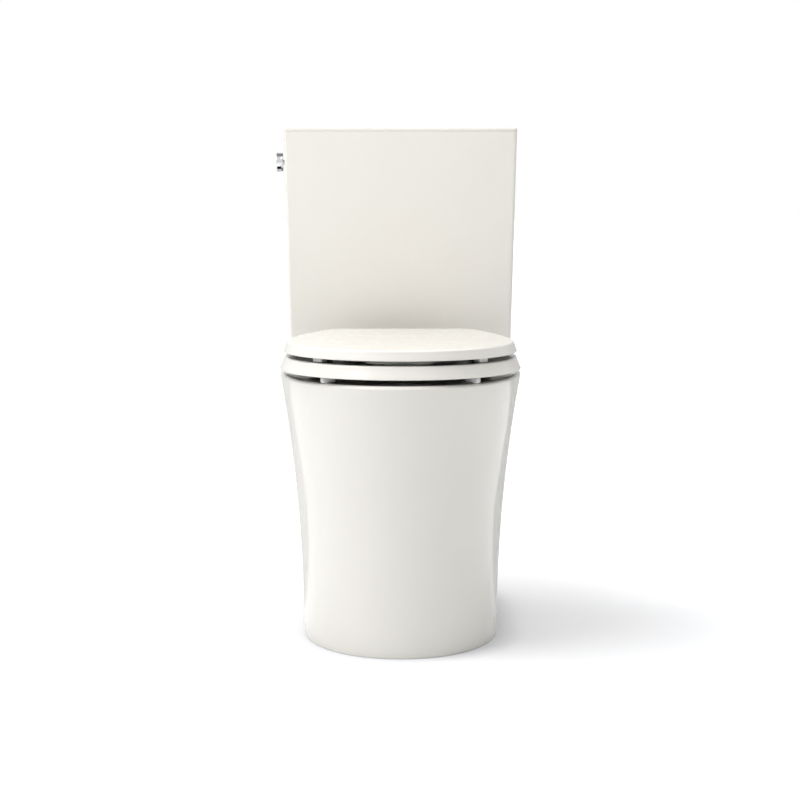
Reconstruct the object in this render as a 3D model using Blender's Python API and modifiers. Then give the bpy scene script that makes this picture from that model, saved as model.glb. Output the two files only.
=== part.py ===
"""A two-piece floor-standing toilet: a skirted elongated bowl, a tank with a side lever, and a seat
and lid on a common hinge, each real piece as an object of its own.

Metres, +Z up. X = 0 is the plane of symmetry, the front faces -Y and Z = 0 is the floor. Distances
called back are measured backwards from the foremost point of the bowl's rim. The origin lies on the
front of the bowl's foot, in the middle of the flat ring that stands on the floor.
"""
import math

import bmesh
import bpy
from mathutils import Matrix, Vector

# Driving sizes of the whole, in metres

overall_height = 0.787
overall_depth = 0.724
rim_height = 0.411
bowl_width = 0.372
foot_width = 0.302
tank_width = 0.3836
tank_depth = 0.199
seat_width = 0.366
lid_width = 0.353

# Clearances shared by all pieces

touch_gap = 0.0003
running_gap = 0.0008
overrun = 0.004

# Bowl: outside

foot_setback = 0.072
foot_shortfall = 0.106
foot_edge = 0.003
foot_corner = 0.035
belly_share = 0.5769
flare_power = 2.05
nose_power = 2.06
deck_width = 0.226
deck_lead = 0.005
deck_shortfall = 0.024
deck_corner = 0.030
shoulder_height = 0.190
rim_edge = 0.006
china_wall = 0.012
deck_thickness = 0.015
skirt_level_shares = (0.08, 0.2, 0.34, 0.48, 0.6, 0.71, 0.81, 0.89, 0.95)
access_width = 0.170
access_low = 0.055
access_high = 0.320

# Bowl: basin, trapway and inlet

basin_front = 0.056
basin_overlap = 0.042
basin_width = 0.244
basin_lip = 0.030
basin_undercut = 0.016
basin_side_drop = 0.040
basin_edge = 0.005
basin_wall = 0.011
sump_inset = 0.088
sump_width = 0.084
sump_length = 0.104
sump_floor = 0.118
basin_form_shares = (
    (0.16, 0.97),
    (0.34, 0.89),
    (0.52, 0.74),
    (0.68, 0.53),
    (0.82, 0.28),
    (0.93, 0.08),
    (0.98, 0.0),
)
sump_floor_share = 0.55
trap_bore = 0.052
trap_wall = 0.010
trap_lead = 0.012
trap_tail = 0.104
weir_height = 0.245
horn_height = 0.012
wall_gap = 0.012
rough_in = 0.305
trap_shares = (
    (0.0, 0.61),
    (0.16, 0.54),
    (0.36, 0.70),
    (0.55, 0.93),
    (0.76, 1.0),
    (0.94, 0.90),
    (1.0, 0.67),
    (0.90, 0.43),
    (0.68, 0.24),
)
outlet_rise_share = 0.12
inlet_radius = 0.058
inlet_depth = 0.029
inlet_wall = 0.011
flush_well_radius = 0.034
flush_bore = 0.040
flush_drop = 0.052

# Tank

tank_foot_width = 0.364
tank_draft = 0.004
tank_wall = 0.0105
tank_floor = 0.012
tank_corner = 0.005
tank_edge = 0.009
tank_lift = 0.0045
lid_edge = 0.0045
lid_seam = 0.0006
lid_round = 0.0016
lid_plate = 0.009
lid_flange = 0.016
lid_flange_width = 0.009
lid_play = 0.0020

# Tank bolts

bolt_spread = 0.166
bolt_radius = 0.004
bolt_head_radius = 0.0085
bolt_head = 0.005
bolt_washer_radius = 0.0125
bolt_washer = 0.003
bolt_hole_play = 0.0015
bolt_nut_radius = 0.0092
bolt_nut = 0.008
bolt_tail = 0.006

# Flush valve and its canister

valve_setback = 0.110
valve_bore = 0.033
valve_shank_radius = 0.0400
valve_flange_radius = 0.050
valve_flange = 0.005
valve_washer = 0.003
valve_seat_radius = 0.0385
valve_seat_rise = 0.016
valve_nut_radius = 0.053
valve_nut = 0.010
valve_shank_drop = 0.013
spider_width = 0.004
spider_height = 0.005
post_radius = 0.006
post_cap_radius = 0.009
post_cap = 0.014
canister_radius = 0.034
canister_wall = 0.0025
strap_reach = 0.095
canister_flange = 0.003
canister_flange_radius = 0.038
canister_hub_radius = 0.0105
canister_bars = 0.006
seal_thickness = 0.003
seal_width = 0.007
post_above = 0.030
lever_lift = 0.020

# Fill valve

fill_setback = 0.127
fill_side_gap = 0.008
fill_shank_radius = 0.0125
fill_shank_drop = 0.030
fill_bore = 0.0055
fill_flange_radius = 0.021
fill_flange = 0.005
fill_washer = 0.003
fill_nut_radius = 0.021
fill_nut = 0.011
riser_radius = 0.011
fill_headroom = 0.0916
fill_head_radius = 0.0205
fill_head = 0.030
fill_head_round = 0.004
float_radius = 0.0235
float_edge = 0.0030
stop_height = 0.0030
stop_rim = 0.0060
float_height_share = 0.2667
float_low_share = 0.1333
refill_radius = 0.0033
nipple_length = 0.009
refill_bow = 0.014
refill_path_shares = (
    (0.0, 0.2, 0.0),
    (0.0, 0.5, 0.0),
    (0.25, 0.9, 0.8),
    (0.6, 0.8, 1.6),
    (0.9, 0.3, 1.7),
    (1.0, 0.0, 0.7),
    (1.0, 0.0, 0.2),
)

# Flush lever

lever_drop = 0.0555
lever_setback = 0.062
handle_height = 0.0314
handle_length = 0.072
handle_thickness = 0.0122
handle_round = 0.0022
bushing_flange = 0.0014
bushing_flange_radius = 0.0115
bushing_radius = 0.0075
bushing_tail = 0.011
lever_hole_play = 0.0007
lever_nut_radius = 0.0135
lever_nut = 0.006
shaft_radius = 0.0040
arm_radius = 0.0028
arm_hub_radius = 0.0075
arm_hub = 0.010
arm_throw = 0.053
strap_offset = 0.030
strap_width = 0.007
strap_thickness = 0.0022
strap_eye_height = 0.0150
strap_eye_length = 0.0190
strap_eye_wall = 0.0022
strap_foot = 0.004

# Seat, lid and their hinge

seat_gap = 0.0082
seat_thickness = 0.020
seat_flare = 0.006
seat_front = 0.003
seat_clearance = 0.021
seat_back_width = 0.250
seat_belly_share = 0.516
seat_hole_front = 0.066
seat_bridge = 0.090
seat_hole_width = 0.218
seat_edge = 0.004
seat_dip = 0.003
lid_gap = 0.0067
lid_thickness = 0.0169
lid_flare = 0.0015
lid_front = 0.009
lid_clearance = 0.057
lid_back_width = 0.238
lid_belly_share = 0.4594
lid_corner = 0.016
lid_edge_round = 0.003
lid_crown = 0.0012
lid_recess = 0.008
lid_recess_inset = 0.006
lid_recess_rear = 0.036
rear_power = 1.6
hinge_inset = 0.011
hinge_height = 0.026
hinge_spread = 0.140
barrel_radius = 0.0084
hinge_post_width = 0.018
knuckle_width = 0.012
post_base_radius = 0.016
post_base = 0.010
post_neck = 0.011
pin_radius = 0.003
pin_tail = 0.0007
seat_arm_reach = 0.012
seat_arm_height = 0.012
seat_bolt_radius = 0.004
seat_bolt_head_radius = 0.0090
seat_bolt_head = 0.005
seat_bolt_hole_play = 0.0020
seat_washer_radius = 0.016
seat_washer = 0.003
seat_nut_radius = 0.0095
seat_nut = 0.009
seat_bolt_tail = 0.006
bumper_width = 0.012
bumper_length = 0.020
bumper_round = 0.003
seat_bumper_front = 0.057
seat_bumper_inset = 0.0187
seat_bumper_rear = 0.096
seat_bumper_rear_inset = 0.0295
lid_bumper_front = 0.078
lid_bumper_inset = 0.0180
lid_bumper_rear = 0.116
lid_bumper_rear_inset = 0.0405

# Floor anchors inside the skirt

anchor_inset = 0.118
anchor_height = 0.050
anchor_leg = 0.070
anchor_base = 0.045
anchor_width = 0.040
anchor_thickness = 0.004
anchor_slot = 0.007
anchor_screw_radius = 0.0030
anchor_head_radius = 0.0062
anchor_head = 0.0030
anchor_screw_reach = 0.010
anchor_hole_play = 0.0020
cap_radius = 0.0100
cap_wall = 0.0018
cap_round = 0.0012

# Counts: how finely round forms are divided

nose_steps = 12
side_steps = 5
corner_steps = 3
oval_steps = 15
fine_steps = 24
round_steps = 16
small_steps = 12
path_steps = 2

# Places that follow from the sizes above

tip_y = -(foot_setback + (foot_edge + china_wall) / 2)
tank_front = overall_depth - tank_depth
lid_back = tank_front - lid_clearance
lid_belly = lid_back * lid_belly_share
lid_recess_back = lid_back - lid_recess_rear
hinge_back = lid_back - hinge_inset
seat_back = hinge_back - seat_clearance
seat_belly = seat_back * seat_belly_share
seat_hole_back = seat_back - seat_bridge
basin_back = seat_hole_back + basin_overlap
sump_back = basin_back - sump_inset
deck_start = tank_front - deck_lead
deck_end = overall_depth - deck_shortfall
belly_back = deck_start * belly_share
foot_back = overall_depth - foot_shortfall
anchor_back = foot_back - anchor_inset
tank_bottom = rim_height + tank_lift
tank_inside = tank_bottom + tank_floor
tank_top = overall_height - lid_edge - lid_seam
valve_back = tank_front + valve_setback
outlet_back = overall_depth + wall_gap - rough_in
trap_start = sump_back + trap_lead
trap_rear = outlet_back + trap_tail
seat_bottom = rim_height + seat_gap
seat_top = seat_bottom + seat_thickness
lid_bottom = seat_top + lid_gap
lid_top = lid_bottom + lid_thickness
hinge_z = rim_height + hinge_height


def at(back):
    """World Y of a distance measured back from the rim's foremost point."""
    return tip_y + back


def mix(a, b, share):
    return a + (b - a) * share


def ease(share):
    """0 to 1 with level ends."""
    share = min(max(share, 0.0), 1.0)
    return share * share * (3 - 2 * share)


# Collections and materials

for old in list(bpy.data.objects):
    bpy.data.objects.remove(old, do_unlink=True)


def new_collection(name):
    found = bpy.data.collections.get(name)
    if found is None:
        found = bpy.data.collections.new(name)
        bpy.context.scene.collection.children.link(found)
    return found


pieces = new_collection("toilet")
cutters = new_collection("cutters")


def make_material(name, colour, roughness, metallic=0.0):
    made = bpy.data.materials.new(name)
    made.use_nodes = True
    shader = made.node_tree.nodes["Principled BSDF"]
    shader.inputs["Base Color"].default_value = (*colour, 1.0)
    shader.inputs["Roughness"].default_value = roughness
    shader.inputs["Metallic"].default_value = metallic
    made.diffuse_color = (*colour, 1.0)
    return made


vitreous_china = make_material("vitreous_china", (0.86, 0.83, 0.76), 0.12)
seat_plastic = make_material("seat_plastic", (0.86, 0.83, 0.77), 0.22)
bright_chrome = make_material("bright_chrome", (0.75, 0.76, 0.78), 0.06, 1.0)
white_plastic = make_material("white_plastic", (0.80, 0.80, 0.78), 0.35)
grey_plastic = make_material("grey_plastic", (0.32, 0.33, 0.35), 0.4)
blue_plastic = make_material("blue_plastic", (0.05, 0.14, 0.36), 0.4)
black_rubber = make_material("black_rubber", (0.03, 0.03, 0.03), 0.75)
red_rubber = make_material("red_rubber", (0.45, 0.04, 0.03), 0.6)
clear_vinyl = make_material("clear_vinyl", (0.75, 0.77, 0.76), 0.25)
plain_brass = make_material("plain_brass", (0.62, 0.45, 0.18), 0.3, 1.0)
zinc_steel = make_material("zinc_steel", (0.56, 0.56, 0.55), 0.35, 1.0)
bumper_vinyl = make_material("bumper_vinyl", (0.84, 0.82, 0.78), 0.45)


# Making and combining objects


def put(obj, material, group=pieces):
    """Links an object to its collection and gives it its material."""
    group.objects.link(obj)
    obj.data.materials.clear()
    obj.data.materials.append(material)
    return obj


def shade(mesh, angle=40):
    mesh.shade_smooth()
    mesh.set_sharp_from_angle(angle=math.radians(angle))


def mesh_object(name, bm, material, group=pieces):
    bmesh.ops.recalc_face_normals(bm, faces=bm.faces)
    mesh = bpy.data.meshes.new(name)
    bm.to_mesh(mesh)
    bm.free()
    shade(mesh)
    return put(bpy.data.objects.new(name, mesh), material, group)


def as_tool(obj):
    """Keeps an object as a cutter or a helper that other objects are joined with."""
    for group in list(obj.users_collection):
        group.objects.unlink(obj)
    cutters.objects.link(obj)
    obj.hide_render = True
    obj.display_type = "WIRE"
    return obj


def combine(obj, tool, operation):
    as_tool(tool)
    step = obj.modifiers.new(operation.lower() + " " + tool.name, "BOOLEAN")
    step.operation = operation
    step.solver = "EXACT"
    step.object = tool
    return obj


def cut(obj, *tools):
    for tool in tools:
        combine(obj, tool, "DIFFERENCE")
    return obj


def join(obj, *tools):
    for tool in tools:
        combine(obj, tool, "UNION")
    return obj


def full_loop(half):
    """A right half, from the middle of the front to the middle of the back, with its mirror image."""
    return half + [(-x, y) for x, y in reversed(half[1:-1])]


def loft(name, rings, material, group=pieces, endless=False):
    """A skin over rings of (x, y, z) points, closed by its two end faces or, endless, by itself."""
    bm = bmesh.new()
    rows = [[bm.verts.new(point) for point in ring] for ring in rings]
    pairs = list(zip(rows, rows[1:] + rows[:1])) if endless else list(zip(rows, rows[1:]))
    for low, high in pairs:
        for i in range(len(low)):
            j = (i + 1) % len(low)
            bm.faces.new((low[i], low[j], high[j], high[i]))
    if not endless:
        bm.faces.new(list(reversed(rows[0])))
        bm.faces.new(rows[-1])
    return mesh_object(name, bm, material, group)


def level(outline, z):
    """An outline of (x, y) points as a ring at one height."""
    return [(x, y, z) for x, y in outline]


def turned(name, profile, centre, material, steps=round_steps, group=pieces, closed=False):
    """A profile of (radius, z) points, listed down its outer side, turned about a vertical axis."""
    mesh = bpy.data.meshes.new(name)
    edges = [(i, i + 1) for i in range(len(profile) - 1)]
    if closed:
        edges.append((len(profile) - 1, 0))
    mesh.from_pydata([(radius, 0.0, z) for radius, z in profile], edges, [])
    obj = put(bpy.data.objects.new(name, mesh), material, group)
    screw = obj.modifiers.new("turn", "SCREW")
    screw.axis = "Z"
    screw.angle = math.tau
    screw.steps = screw.render_steps = steps
    screw.use_merge_vertices = True
    screw.merge_threshold = 0.00002
    screw.use_smooth_shade = True
    seams = obj.modifiers.new("weld", "WELD")
    seams.merge_threshold = 0.00002
    obj.location = centre
    return obj


def ring_profile(inner, outer, low, high):
    """The closed section of a plain ring, down its outer side and up its bore."""
    return [(outer, high), (outer, low), (inner, low), (inner, high)]


def disc_profile(radius, low, high):
    return [(0.0, high), (radius, high), (radius, low), (0.0, low)]


def washer(name, inner, outer, low, high, x, y, material, steps=round_steps):
    profile = ring_profile(inner, outer, low, high)
    return turned(name, profile, (x, y, 0.0), material, steps, closed=True)


def drill(name, radius, low, high, x, y, steps=round_steps):
    """A vertical round cutter."""
    profile = disc_profile(radius, low, high)
    return as_tool(turned(name, profile, (x, y, 0.0), vitreous_china, steps, cutters))


def block(name, low, high, material, group=pieces, bevel=0.0):
    """A box between two corners, with its edges rounded if a width is given."""
    bm = bmesh.new()
    bmesh.ops.create_cube(bm, size=1.0)
    size = [h - l for l, h in zip(low, high)]
    middle = [(h + l) / 2 for l, h in zip(low, high)]
    bmesh.ops.scale(bm, vec=size, verts=bm.verts)
    bmesh.ops.translate(bm, vec=middle, verts=bm.verts)
    obj = mesh_object(name, bm, material, group)
    if bevel:
        rounding = obj.modifiers.new("round", "BEVEL")
        rounding.width = bevel
        rounding.segments = 2
    return obj


def lying_round(name, radius, start, end, y, z, material, group=pieces, steps=round_steps):
    """A cylinder along X between two places."""
    bm = bmesh.new()
    bmesh.ops.create_cone(
        bm, cap_ends=True, segments=steps, radius1=radius, radius2=radius, depth=end - start
    )
    turn = Matrix.Rotation(math.pi / 2, 4, "Y")
    shift = Matrix.Translation(((start + end) / 2, y, z))
    bmesh.ops.transform(bm, matrix=shift @ turn, verts=bm.verts)
    return mesh_object(name, bm, material, group)


def lengthwise_round(name, radius, front, back, z, material, group=pieces, steps=round_steps):
    """A cylinder along Y, on the plane of symmetry, between two distances back."""
    bm = bmesh.new()
    bmesh.ops.create_cone(
        bm, cap_ends=True, segments=steps, radius1=radius, radius2=radius, depth=back - front
    )
    turn = Matrix.Rotation(math.pi / 2, 4, "X")
    shift = Matrix.Translation((0.0, at((front + back) / 2), z))
    bmesh.ops.transform(bm, matrix=shift @ turn, verts=bm.verts)
    return mesh_object(name, bm, material, group)


def hex_nut(name, radius, bore, low, high, x, y, material, steps=small_steps):
    """A six-sided nut about a vertical axis, radius being that of its corners."""
    bm = bmesh.new()
    bmesh.ops.create_cone(
        bm, cap_ends=True, segments=6, radius1=radius, radius2=radius, depth=high - low
    )
    bmesh.ops.translate(bm, vec=(x, y, (low + high) / 2), verts=bm.verts)
    nut = mesh_object(name, bm, material)
    return cut(nut, drill(name + "_bore", bore, low - overrun, high + overrun, x, y, steps))


def smooth_path(points, per_span):
    """A smooth path through points, as a list that holds them too."""
    ends = [points[0] * 2 - points[1]] + points + [points[-1] * 2 - points[-2]]
    path = []
    for a, b, c, d in zip(ends, ends[1:], ends[2:], ends[3:]):
        for k in range(per_span):
            t = k / per_span
            path.append(
                (b * 2 + (c - a) * t + (a * 2 - b * 5 + c * 4 - d) * t**2
                 + (b * 3 - a - c * 3 + d) * t**3) / 2
            )
    return path + [points[-1]]


def tube(name, path, radius, material, group=pieces, resolution=2):
    """A round bar along a path, as a curve with filled ends."""
    curve = bpy.data.curves.new(name, "CURVE")
    curve.dimensions = "3D"
    curve.bevel_depth = radius
    curve.bevel_resolution = resolution
    curve.use_fill_caps = True
    spline = curve.splines.new("POLY")
    spline.points.add(len(path) - 1)
    for point, place in zip(spline.points, path):
        point.co = (*place, 1.0)
    return put(bpy.data.objects.new(name, curve), material, group)


def solid_from(curve_object):
    """A curve object remade as a closed mesh, so that it can be cut, joined or used as a cutter."""
    seen = curve_object.evaluated_get(bpy.context.evaluated_depsgraph_get())
    mesh = bpy.data.meshes.new_from_object(seen)
    bm = bmesh.new()
    bm.from_mesh(mesh)
    bmesh.ops.remove_doubles(bm, verts=bm.verts, dist=touch_gap / 30)
    bmesh.ops.recalc_face_normals(bm, faces=bm.faces)
    bm.to_mesh(mesh)
    bm.free()
    shade(mesh)
    name, group = curve_object.name, curve_object.users_collection[0]
    place, material = curve_object.matrix_world.copy(), curve_object.data.materials[0]
    bpy.data.objects.remove(curve_object, do_unlink=True)
    made = put(bpy.data.objects.new(name, mesh), material, group)
    made.matrix_world = place
    return made


def plate(name, outline, thickness, bevel, material, group=pieces):
    """A flat outline of (x, y) points as a plate about z = 0, its edges rounded by the bevel."""
    curve = bpy.data.curves.new(name, "CURVE")
    curve.dimensions = "2D"
    curve.fill_mode = "BOTH"
    curve.extrude = thickness / 2 - bevel
    curve.bevel_depth = bevel
    curve.bevel_resolution = 1
    curve.offset = -bevel
    spline = curve.splines.new("POLY")
    spline.use_cyclic_u = True
    spline.points.add(len(outline) - 1)
    for point, (x, y) in zip(spline.points, outline):
        point.co = (x, y, 0.0, 1.0)
    return solid_from(put(bpy.data.objects.new(name, curve), material, group))


def pill(length, height, steps):
    """The outline of a bar with round ends, lying along X, its rear round centred on the origin."""
    radius = height / 2
    reach = length - height
    points = []
    for k in range(steps + 1):
        angle = -math.pi / 2 + math.pi * k / steps
        points.append((radius * math.cos(angle), radius * math.sin(angle)))
    for k in range(steps + 1):
        angle = math.pi / 2 + math.pi * k / steps
        points.append((radius * math.cos(angle) - reach, radius * math.sin(angle)))
    return points


# Outlines seen from above


def nose(front, belly, half):
    """The right side of the front, from its foremost point to the widest place."""
    points = []
    for k in range(nose_steps + 1):
        angle = math.pi / 2 * k / nose_steps
        across = math.sin(angle) ** (2 / nose_power)
        along = math.cos(angle) ** (2 / nose_power) if k < nose_steps else 0.0
        points.append((half * across, at(belly - (belly - front) * along)))
    return points


def skirt_outline(z, inset=0.0):
    """The bowl's outline at a height, or the same drawn in by the china's thickness."""
    widest = rim_height - rim_edge
    rise = (min(z, widest) / widest) ** flare_power
    shoulder = ease((z - shoulder_height) / (rim_height - shoulder_height))
    half = mix(foot_width, bowl_width, rise) / 2 - inset
    front = foot_setback * (1 - rise) + inset
    rear_half = mix(foot_width, deck_width, shoulder) / 2 - inset
    rear = mix(foot_back, deck_end, ease(z / rim_height)) - inset
    corner = max(mix(foot_corner, deck_corner, shoulder) - inset, china_wall / 2)
    half_loop = nose(front, belly_back, half)
    for k in range(1, side_steps + 1):
        share = k / side_steps
        along = mix(belly_back, min(deck_start, rear - corner), share)
        half_loop.append((mix(half, rear_half, ease(share)), at(along)))
    for k in range(corner_steps + 1):
        angle = math.pi / 2 * k / corner_steps
        half_loop.append((
            rear_half - corner + corner * math.cos(angle),
            at(rear - corner + corner * math.sin(angle)),
        ))
    half_loop.append((0.0, at(rear)))
    return full_loop(half_loop)


def egg_half(along, front, half, back, back_half, belly):
    """Half the width of a seat's outline at a distance back."""
    if along < belly:
        share = (belly - along) / (belly - front)
        return half * (1 - share**nose_power) ** (1 / nose_power)
    reach = (1 - (back_half / half) ** rear_power) ** (1 / rear_power)
    share = (along - belly) / (back - belly) * reach
    return half * (1 - share**rear_power) ** (1 / rear_power)


def egg_outline(front, half, back, back_half, belly, corner):
    """A seat's outline: a rounded front, sides that draw in, and a flat back with round corners."""
    half_loop = nose(front, belly, half)
    stop = back - corner
    for k in range(1, side_steps + 2):
        along = mix(belly, stop, k / (side_steps + 1))
        half_loop.append((egg_half(along, front, half, back, back_half, belly), at(along)))
    start_x = half_loop[-1][0]
    for k in range(1, corner_steps + 1):
        t = k / corner_steps
        across = mix(mix(start_x, back_half, t), mix(back_half, back_half - corner, t), t)
        along = mix(mix(stop, back, t), back, t)
        half_loop.append((across, at(along)))
    half_loop.append((0.0, at(back)))
    return full_loop(half_loop)


def oval_outline(front, back, half):
    """An ellipse between two distances back."""
    middle, reach = (front + back) / 2, (back - front) / 2
    loop = []
    for k in range(2 * oval_steps):
        angle = math.pi * k / oval_steps
        loop.append((half * math.sin(angle), at(middle - reach * math.cos(angle))))
    return loop


def box_outline(half, front, back, radius):
    """A rounded rectangle between two distances back."""
    half_loop = [(0.0, at(front))]
    for k in range(corner_steps + 1):
        angle = math.pi / 2 * k / corner_steps
        half_loop.append((
            half - radius + radius * math.sin(angle),
            at(front + radius - radius * math.cos(angle)),
        ))
    for k in range(corner_steps + 1):
        angle = math.pi / 2 * k / corner_steps
        half_loop.append((
            half - radius + radius * math.cos(angle),
            at(back - radius + radius * math.sin(angle)),
        ))
    half_loop.append((0.0, at(back)))
    return full_loop(half_loop)


def shrink(outline, distance, back, half):
    """An outline drawn in by about a distance on every side."""
    middle = at(back)
    reach = max(abs(y - middle) for x, y in outline)
    return [
        (x * (1 - distance / half), middle + (y - middle) * (1 - distance / reach))
        for x, y in outline
    ]


# Bowl


def make_bowl():
    rings = [level(skirt_outline(0.0, foot_edge), 0.0), level(skirt_outline(foot_edge), foot_edge)]
    rings += [level(skirt_outline(s * rim_height), s * rim_height) for s in skirt_level_shares]
    for angle in (0, 30, 60, 90):
        turn = math.radians(angle)
        inset = rim_edge * (1 - math.cos(turn))
        z = rim_height - rim_edge * (1 - math.sin(turn))
        rings.append(level(skirt_outline(z, inset), z))
    bowl = loft("bowl", rings, vitreous_china)
    cut(bowl, make_underside(), make_basin("basin_cutter", 0.0))
    cut(bowl, make_trapway("trapway_cutter", trap_bore / 2, True))
    valve_y = at(valve_back)
    cut(bowl, *make_flush_way("flush_way_cutter", 0.0))
    cut(bowl, access_cutter())
    deck_low = rim_height - deck_thickness - overrun
    for side in (-1, 1):
        reach = bolt_radius + bolt_hole_play
        place = (side * bolt_spread / 2, valve_y)
        cut(bowl, drill(f"bolt_cutter{side}", reach, deck_low, rim_height + overrun, *place))
        reach = seat_bolt_radius + seat_bolt_hole_play
        place = (side * hinge_spread / 2, at(hinge_back))
        cut(bowl, drill(f"seat_bolt_cutter{side}", reach, deck_low, rim_height + overrun, *place))
        start, end = foot_width / 2 - china_wall - overrun, foot_width / 2 + overrun
        start, end = sorted((side * start, side * end))
        reach = anchor_screw_radius + anchor_hole_play
        hole = lying_round(
            f"anchor_cutter{side}", reach, start, end, at(anchor_back), anchor_height,
            vitreous_china, cutters, small_steps,
        )
        cut(bowl, hole)
    return bowl


def make_underside():
    """The hollow under the bowl, less the walls of the basin, the trapway and the inlet."""
    high = rim_height - deck_thickness
    rings = [level(skirt_outline(0.0, china_wall), -overrun)]
    heights = [0.0] + [s * rim_height for s in skirt_level_shares[1::2] if s * rim_height < high]
    rings += [level(skirt_outline(z, china_wall), z) for z in heights]
    rings.append(level(skirt_outline(high, china_wall), high))
    hollow = loft("underside_cutter", rings, vitreous_china, cutters)
    cut(hollow, make_basin("basin_wall", basin_wall))
    cut(hollow, make_trapway("trapway_wall", trap_bore / 2 + trap_wall, False))
    return cut(hollow, *make_flush_way("flush_way_wall", inlet_wall))


def make_basin(name, grow):
    """The inside of the bowl, or, grown by a wall, the body that carries it."""
    half, front, back = basin_width / 2 + grow, basin_front - grow, basin_back + grow
    under = basin_undercut
    top = rim_height + overrun
    rings = []
    if grow == 0.0:
        edge = basin_edge
        rings.append(level(oval_outline(front - edge, back + edge, half + edge), top))
        rings.append(level(oval_outline(front - edge, back + edge, half + edge), rim_height))
        part = edge * (1 - math.sqrt(0.5))
        rings.append(
            level(oval_outline(front - part, back + part, half + part), rim_height - part)
        )
        rings.append(level(oval_outline(front, back, half), rim_height - edge))
        rings.append(level(oval_outline(front, back, half), rim_height - basin_lip))
        shelf = rim_height - basin_lip - basin_edge
        rings.append(level(oval_outline(front - under, back + under, half + under), shelf))
    else:
        rings.append(level(oval_outline(front - under, back + under, half + under), top))
    side_z = rim_height - basin_lip - basin_side_drop
    front, back, half = front - under, back + under, half + under
    rings.append(level(oval_outline(front, back, half), side_z))
    low_front = sump_back - sump_length / 2 - grow
    low_back = sump_back + sump_length / 2 + grow
    low_half = sump_width / 2 + grow
    low_z = sump_floor - grow
    for depth, width in basin_form_shares:
        outline = oval_outline(
            mix(low_front, front, width), mix(low_back, back, width), mix(low_half, half, width)
        )
        rings.append(level(outline, mix(side_z, low_z, depth)))
    share = sump_floor_share
    outline = oval_outline(
        mix(sump_back, low_front, share), mix(sump_back, low_back, share), low_half * share
    )
    rings.append(level(outline, low_z))
    return loft(name, rings, vitreous_china, cutters)


def make_trapway(name, radius, through):
    """The siphon from the sump over the weir to the outlet, as its bore or as its outer wall."""
    places = [
        Vector((0.0, at(mix(trap_start, trap_rear, s)), t * weir_height)) for s, t in trap_shares
    ]
    low = -overrun if through else horn_height
    places.append(Vector((0.0, at(outlet_back), weir_height * outlet_rise_share)))
    path = smooth_path(places, path_steps)
    path.append(Vector((0.0, at(outlet_back), low)))
    return solid_from(tube(name, path, radius, vitreous_china, cutters, 3))


def make_flush_way(name, grow):
    """The inlet's chamber with the well under it, and the way forward from that to the basin."""
    z = rim_height - flush_drop
    radius = flush_bore / 2 + grow
    ledge = rim_height - inlet_depth - grow
    profile = [
        (0.0, rim_height + overrun),
        (inlet_radius + grow, rim_height + overrun),
        (inlet_radius + grow, ledge),
        (flush_well_radius + grow, ledge),
        (flush_well_radius + grow, z - radius),
        (0.0, z - radius),
    ]
    centre = (0.0, at(valve_back), 0.0)
    chamber = turned(name + "_chamber", profile, centre, vitreous_china, fine_steps, cutters)
    way = lengthwise_round(
        name, radius - touch_gap, basin_back, valve_back, z, vitreous_china, cutters
    )
    return chamber, way


def access_cutter():
    """The opening in the back of the skirt, through which the nuts are reached."""
    half = access_width / 2
    low = (-half, at(foot_back - 4 * china_wall), access_low)
    high = (half, at(deck_end + china_wall), access_high)
    return block("access_cutter", low, high, vitreous_china, cutters, china_wall)


# Tank and its lid


def tank_half(z):
    share = (z - tank_bottom) / (overall_height - tank_bottom)
    return mix(tank_foot_width, tank_width, share) / 2


def tank_outline(z, inset=0.0, radius=tank_corner):
    share = (overall_height - z) / (overall_height - tank_bottom)
    front = tank_front + tank_draft * share + inset
    return box_outline(
        tank_half(z) - inset, front, overall_depth - inset, max(radius - inset / 2, lid_edge)
    )


def make_tank():
    low, top = tank_bottom, tank_top
    half_edge = tank_edge * (1 - math.sqrt(0.5))
    inner_edge = tank_edge / 2
    rings = [
        level(tank_outline(tank_inside, tank_wall + inner_edge), tank_inside),
        level(tank_outline(tank_inside + inner_edge, tank_wall), tank_inside + inner_edge),
        level(tank_outline(top, tank_wall), top),
        level(tank_outline(top), top),
        level(tank_outline(low + tank_edge), low + tank_edge),
        level(tank_outline(low + half_edge, half_edge), low + half_edge),
        level(tank_outline(low, tank_edge), low),
    ]
    tank = loft("tank", rings, vitreous_china)
    holes_low, holes_high = low - overrun, tank_inside + overrun
    valve_y = at(valve_back)
    cut(tank, drill(
        "valve_hole", valve_shank_radius + running_gap, holes_low, holes_high, 0, valve_y, fine_steps
    ))
    for side in (-1, 1):
        cut(tank, drill(
            f"tank_bolt_hole{side}", bolt_radius + bolt_hole_play, holes_low, holes_high,
            side * bolt_spread / 2, valve_y,
        ))
    cut(tank, drill(
        "fill_hole", fill_shank_radius + running_gap, holes_low, holes_high, fill_x, fill_y
    ))
    hole = lying_round(
        "lever_hole", bushing_radius + lever_hole_play, -overrun, tank_wall + overrun, 0, 0,
        vitreous_china, cutters,
    )
    hole.parent = lever_axis
    cut(tank, hole)
    return tank


def make_tank_lid():
    top, under = overall_height, overall_height - lid_edge
    flange_out = tank_wall + lid_play
    flange_in = flange_out + lid_flange_width
    half_round = lid_round * (1 - math.sqrt(0.5))
    rings = [
        level(tank_outline(top - lid_plate, flange_in), top - lid_plate),
        level(tank_outline(top - lid_flange, flange_in), top - lid_flange),
        level(tank_outline(top - lid_flange, flange_out), top - lid_flange),
        level(tank_outline(under, flange_out), under),
        level(tank_outline(under, 0.0), under),
        level(tank_outline(top - lid_round, 0.0), top - lid_round),
        level(tank_outline(top - half_round, half_round), top - half_round),
        level(tank_outline(top, lid_round), top),
    ]
    return loft("tank_lid", rings, vitreous_china)


# Tank bolts, one on each side of the flush valve


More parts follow.
